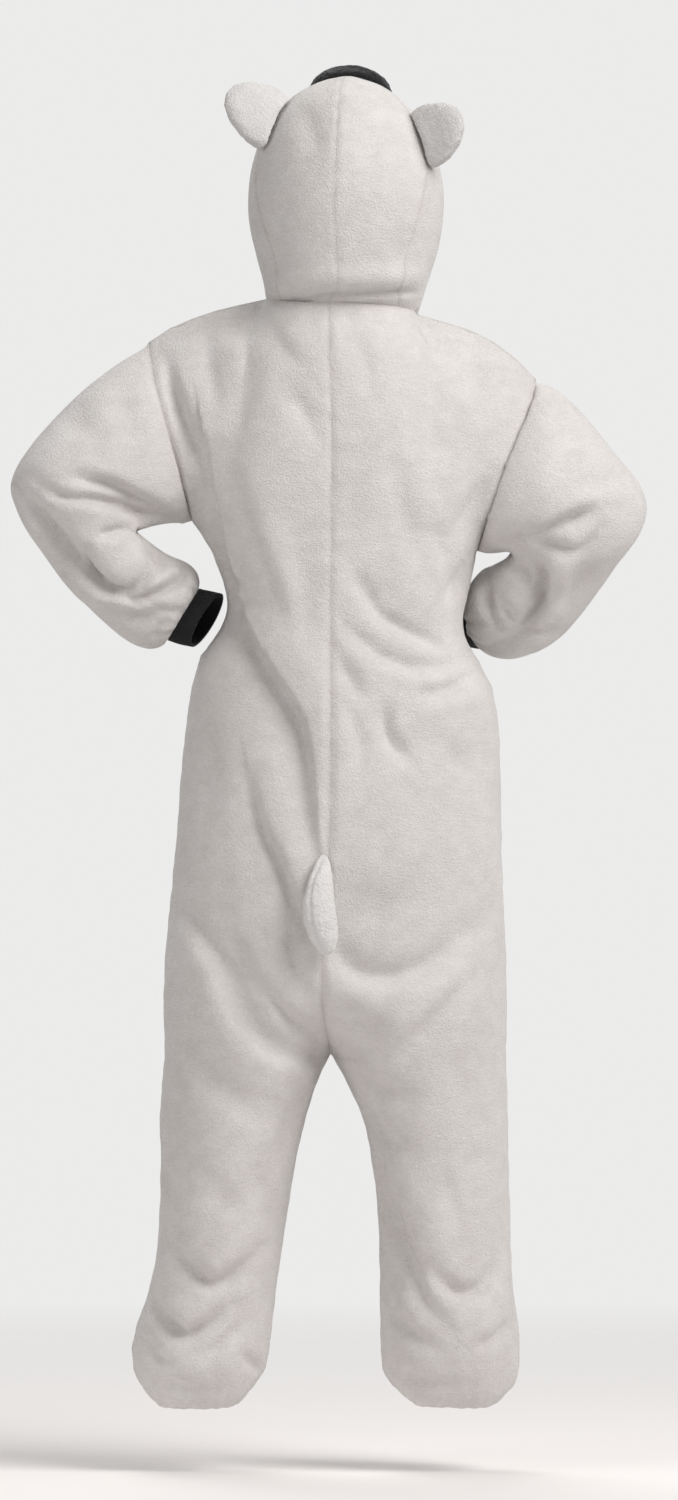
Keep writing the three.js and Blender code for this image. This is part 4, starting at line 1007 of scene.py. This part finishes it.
def makeThread():
    # two crossed stitches that hold a button
    deselectAll()
    look = buttonLook
    length = look["holeSpread"] * 2.83      # corner to corner of the four holes
    bars = []
    for turn in (math.pi / 4, -math.pi / 4):
        bpy.ops.mesh.primitive_cylinder_add(vertices=10, radius=look["threadRadius"], depth=length,
                                            rotation=(math.pi / 2, 0, turn),
                                            location=(0, 0, look["threadHeight"]))
        bar = bpy.context.object
        pickOnly(bar)
        bpy.ops.object.transform_apply(location=True, rotation=True, scale=True)
        for vertex in bar.data.vertices:
            reach = math.hypot(vertex.co.x, vertex.co.y) / (length / 2)
            vertex.co.z += look["threadCrown"] * (1 - reach ** 2)
        bars.append(bar)
    deselectAll()
    for bar in bars:
        bar.select_set(True)
    bpy.context.view_layer.objects.active = bars[0]
    bpy.ops.object.join()
    return bars[0]


def makeButtons():
    button = makeButton()
    thread = makeThread()
    for i in range(1, 7):
        nodeName = f"button_{i}"
        middle, axis = nodeAxis(nodeName)
        turn = Vector((0, 0, 1)).rotation_difference(axis).to_matrix().to_4x4()
        place = Matrix.Translation(middle) @ turn
        for source, name in ((button, nodeName + "_disc"), (thread, nodeName + "_thread")):
            copy = bpy.data.objects.new(name, source.data.copy())
            bpy.context.scene.collection.objects.link(copy)
            copy.data.transform(place)
            pickOnly(copy)
            bpy.ops.object.shade_smooth_by_angle(angle=0.6)
            copy.data.materials.clear()
            isDisc = source is button
            copy.data.materials.append(buttonPlastic if isDisc else greyPlush)
            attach(copy, "root")
            if isDisc:
                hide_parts(nodeName)
    bpy.data.objects.remove(button)
    bpy.data.objects.remove(thread)
    print("buttons made")


makeButtons()

# Stuffed ears, nose and tail
stuffed = {
    "ear_left": {"nodes": ["ear_back_left", "ear_front_left"], "voxel": 0.0024, "cap": 0.003,
                 "tufts": 0.0004, "fill": 0.45},
    "ear_right": {"nodes": ["ear_back_right", "ear_front_right"], "voxel": 0.0024, "cap": 0.003,
                  "tufts": 0.0004, "fill": 0.45},
    "nose_pad": {"nodes": ["nose"], "voxel": 0.003, "cap": 0.002, "tufts": 0.0006, "fill": 0.7},
    "tail_pad": {"nodes": ["tail_left", "tail_right"], "voxel": 0.0026, "cap": 0.004,
                 "tufts": 0.0006, "fill": 0.6},
}
startSmaller = 0.0005         # how much a pad is drawn in before it is blown up
# the hood as an egg: its middle, half sizes and turn, from which the ears and the nose stay clear
hoodEgg = {"middle": (-0.018, 0.0, 0.118), "halfWidth": 0.119, "halfHeight": 0.158, "behind": 0.122,
           "inFront": 0.128, "turn": 6, "clearance": 0.0012}


def planeBetween(firstNode, secondNode):
    # the plane on which two stuffed halves meet
    first, _ = readPoints(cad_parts[firstNode])
    second, _ = readPoints(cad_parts[secondNode])
    both = np.concatenate([first, second])
    across = first.mean(0) - second.mean(0)
    axes = np.linalg.svd(both - both.mean(0), full_matrices=False)[2]
    thin = axes[2] if abs(axes[2] @ across) > abs(axes[1] @ across) else axes[1]
    return (first.mean(0) + second.mean(0)) / 2, thin


def stuff(piece, look):
    # remeshed, blown up a little as cloth, and held to a small change of shape
    useModifier(piece, "REMESH", mode="VOXEL", voxel_size=look["voxel"], adaptivity=0)
    start, normals = readPoints(piece)
    start = start - normals * startSmaller
    writePoints(piece, start)
    cloth = piece.modifiers.new("cloth", "CLOTH")
    cloth.settings.use_pressure = True
    cloth.settings.uniform_pressure_force = 4
    cloth.settings.effector_weights.gravity = 0
    cloth.settings.quality = 5
    cloth.settings.mass = 0.2
    scene = bpy.context.scene
    for step in range(1, 21):
        scene.frame_set(step)
    pickOnly(piece)
    bpy.ops.object.modifier_apply(modifier=cloth.name)
    scene.frame_set(1)
    points, _ = readPoints(piece)
    change = points - start
    size = np.linalg.norm(change, axis=1, keepdims=True)
    change = change * np.minimum(1, look["cap"] / np.maximum(size, 1e-9))
    writePoints(piece, start + change)


def liftFromHood(piece):
    # moves points that would lie in the hood out to its form
    points, _ = readPoints(piece)
    away = points - np.array(hoodEgg["middle"])
    turn = math.radians(hoodEgg["turn"])
    x = away[:, 0] * math.cos(turn) - away[:, 1] * math.sin(turn)
    y = away[:, 0] * math.sin(turn) + away[:, 1] * math.cos(turn)
    depth = np.where(y > 0, hoodEgg["behind"], hoodEgg["inFront"])
    share = np.sqrt((x / hoodEgg["halfWidth"]) ** 2 + (y / depth) ** 2
                    + (away[:, 2] / hoodEgg["halfHeight"]) ** 2)
    reach = np.linalg.norm(away, axis=1)
    height = (share - 1) * reach / np.maximum(share, 1e-6)
    lift = np.clip(hoodEgg["clearance"] - height, 0, 0.02)
    writePoints(piece, points + away * (lift / reach)[:, None])


def finishPad(name, material, onHood):
    look = stuffed[name]
    piece = copyNodes(name, look["nodes"])
    stuff(piece, look)
    if onHood:
        liftFromHood(piece)
    useModifier(piece, "SUBSURF", levels=1, render_levels=1)
    points, normals = readPoints(piece)
    fromSeam = np.full(len(points), 1.0)
    if len(look["nodes"]) == 2:
        middle, direction = planeBetween(*look["nodes"])
        fromSeam = np.abs((points - middle) @ direction)
    tufts = np.array([noise.noise(Vector(p) * 150) + 0.6 * noise.noise(Vector(p) * 320) for p in points])
    heights = tufts * look["tufts"] - 0.0016 * np.exp(-(fromSeam / 0.0028) ** 2)
    writePoints(piece, points + normals * heights[:, None])
    # painted shade for the groove where two halves meet: a mask that darkens the colour there, near zero on
    # a pad of one piece
    keepAttribute(piece, "paintedSeamShade", np.exp(-(fromSeam / 0.0022) ** 2) * 0.8)
    pickOnly(piece)
    bpy.ops.object.shade_smooth()
    piece.data.materials.clear()
    piece.data.materials.append(material)
    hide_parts(*look["nodes"])
    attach(piece, "root")


finishPad("ear_left", earPlush, True)
finishPad("ear_right", earPlush, True)
finishPad("nose_pad", blackPlush, True)
finishPad("tail_pad", palePlush, False)
print("ears, nose and tail made")
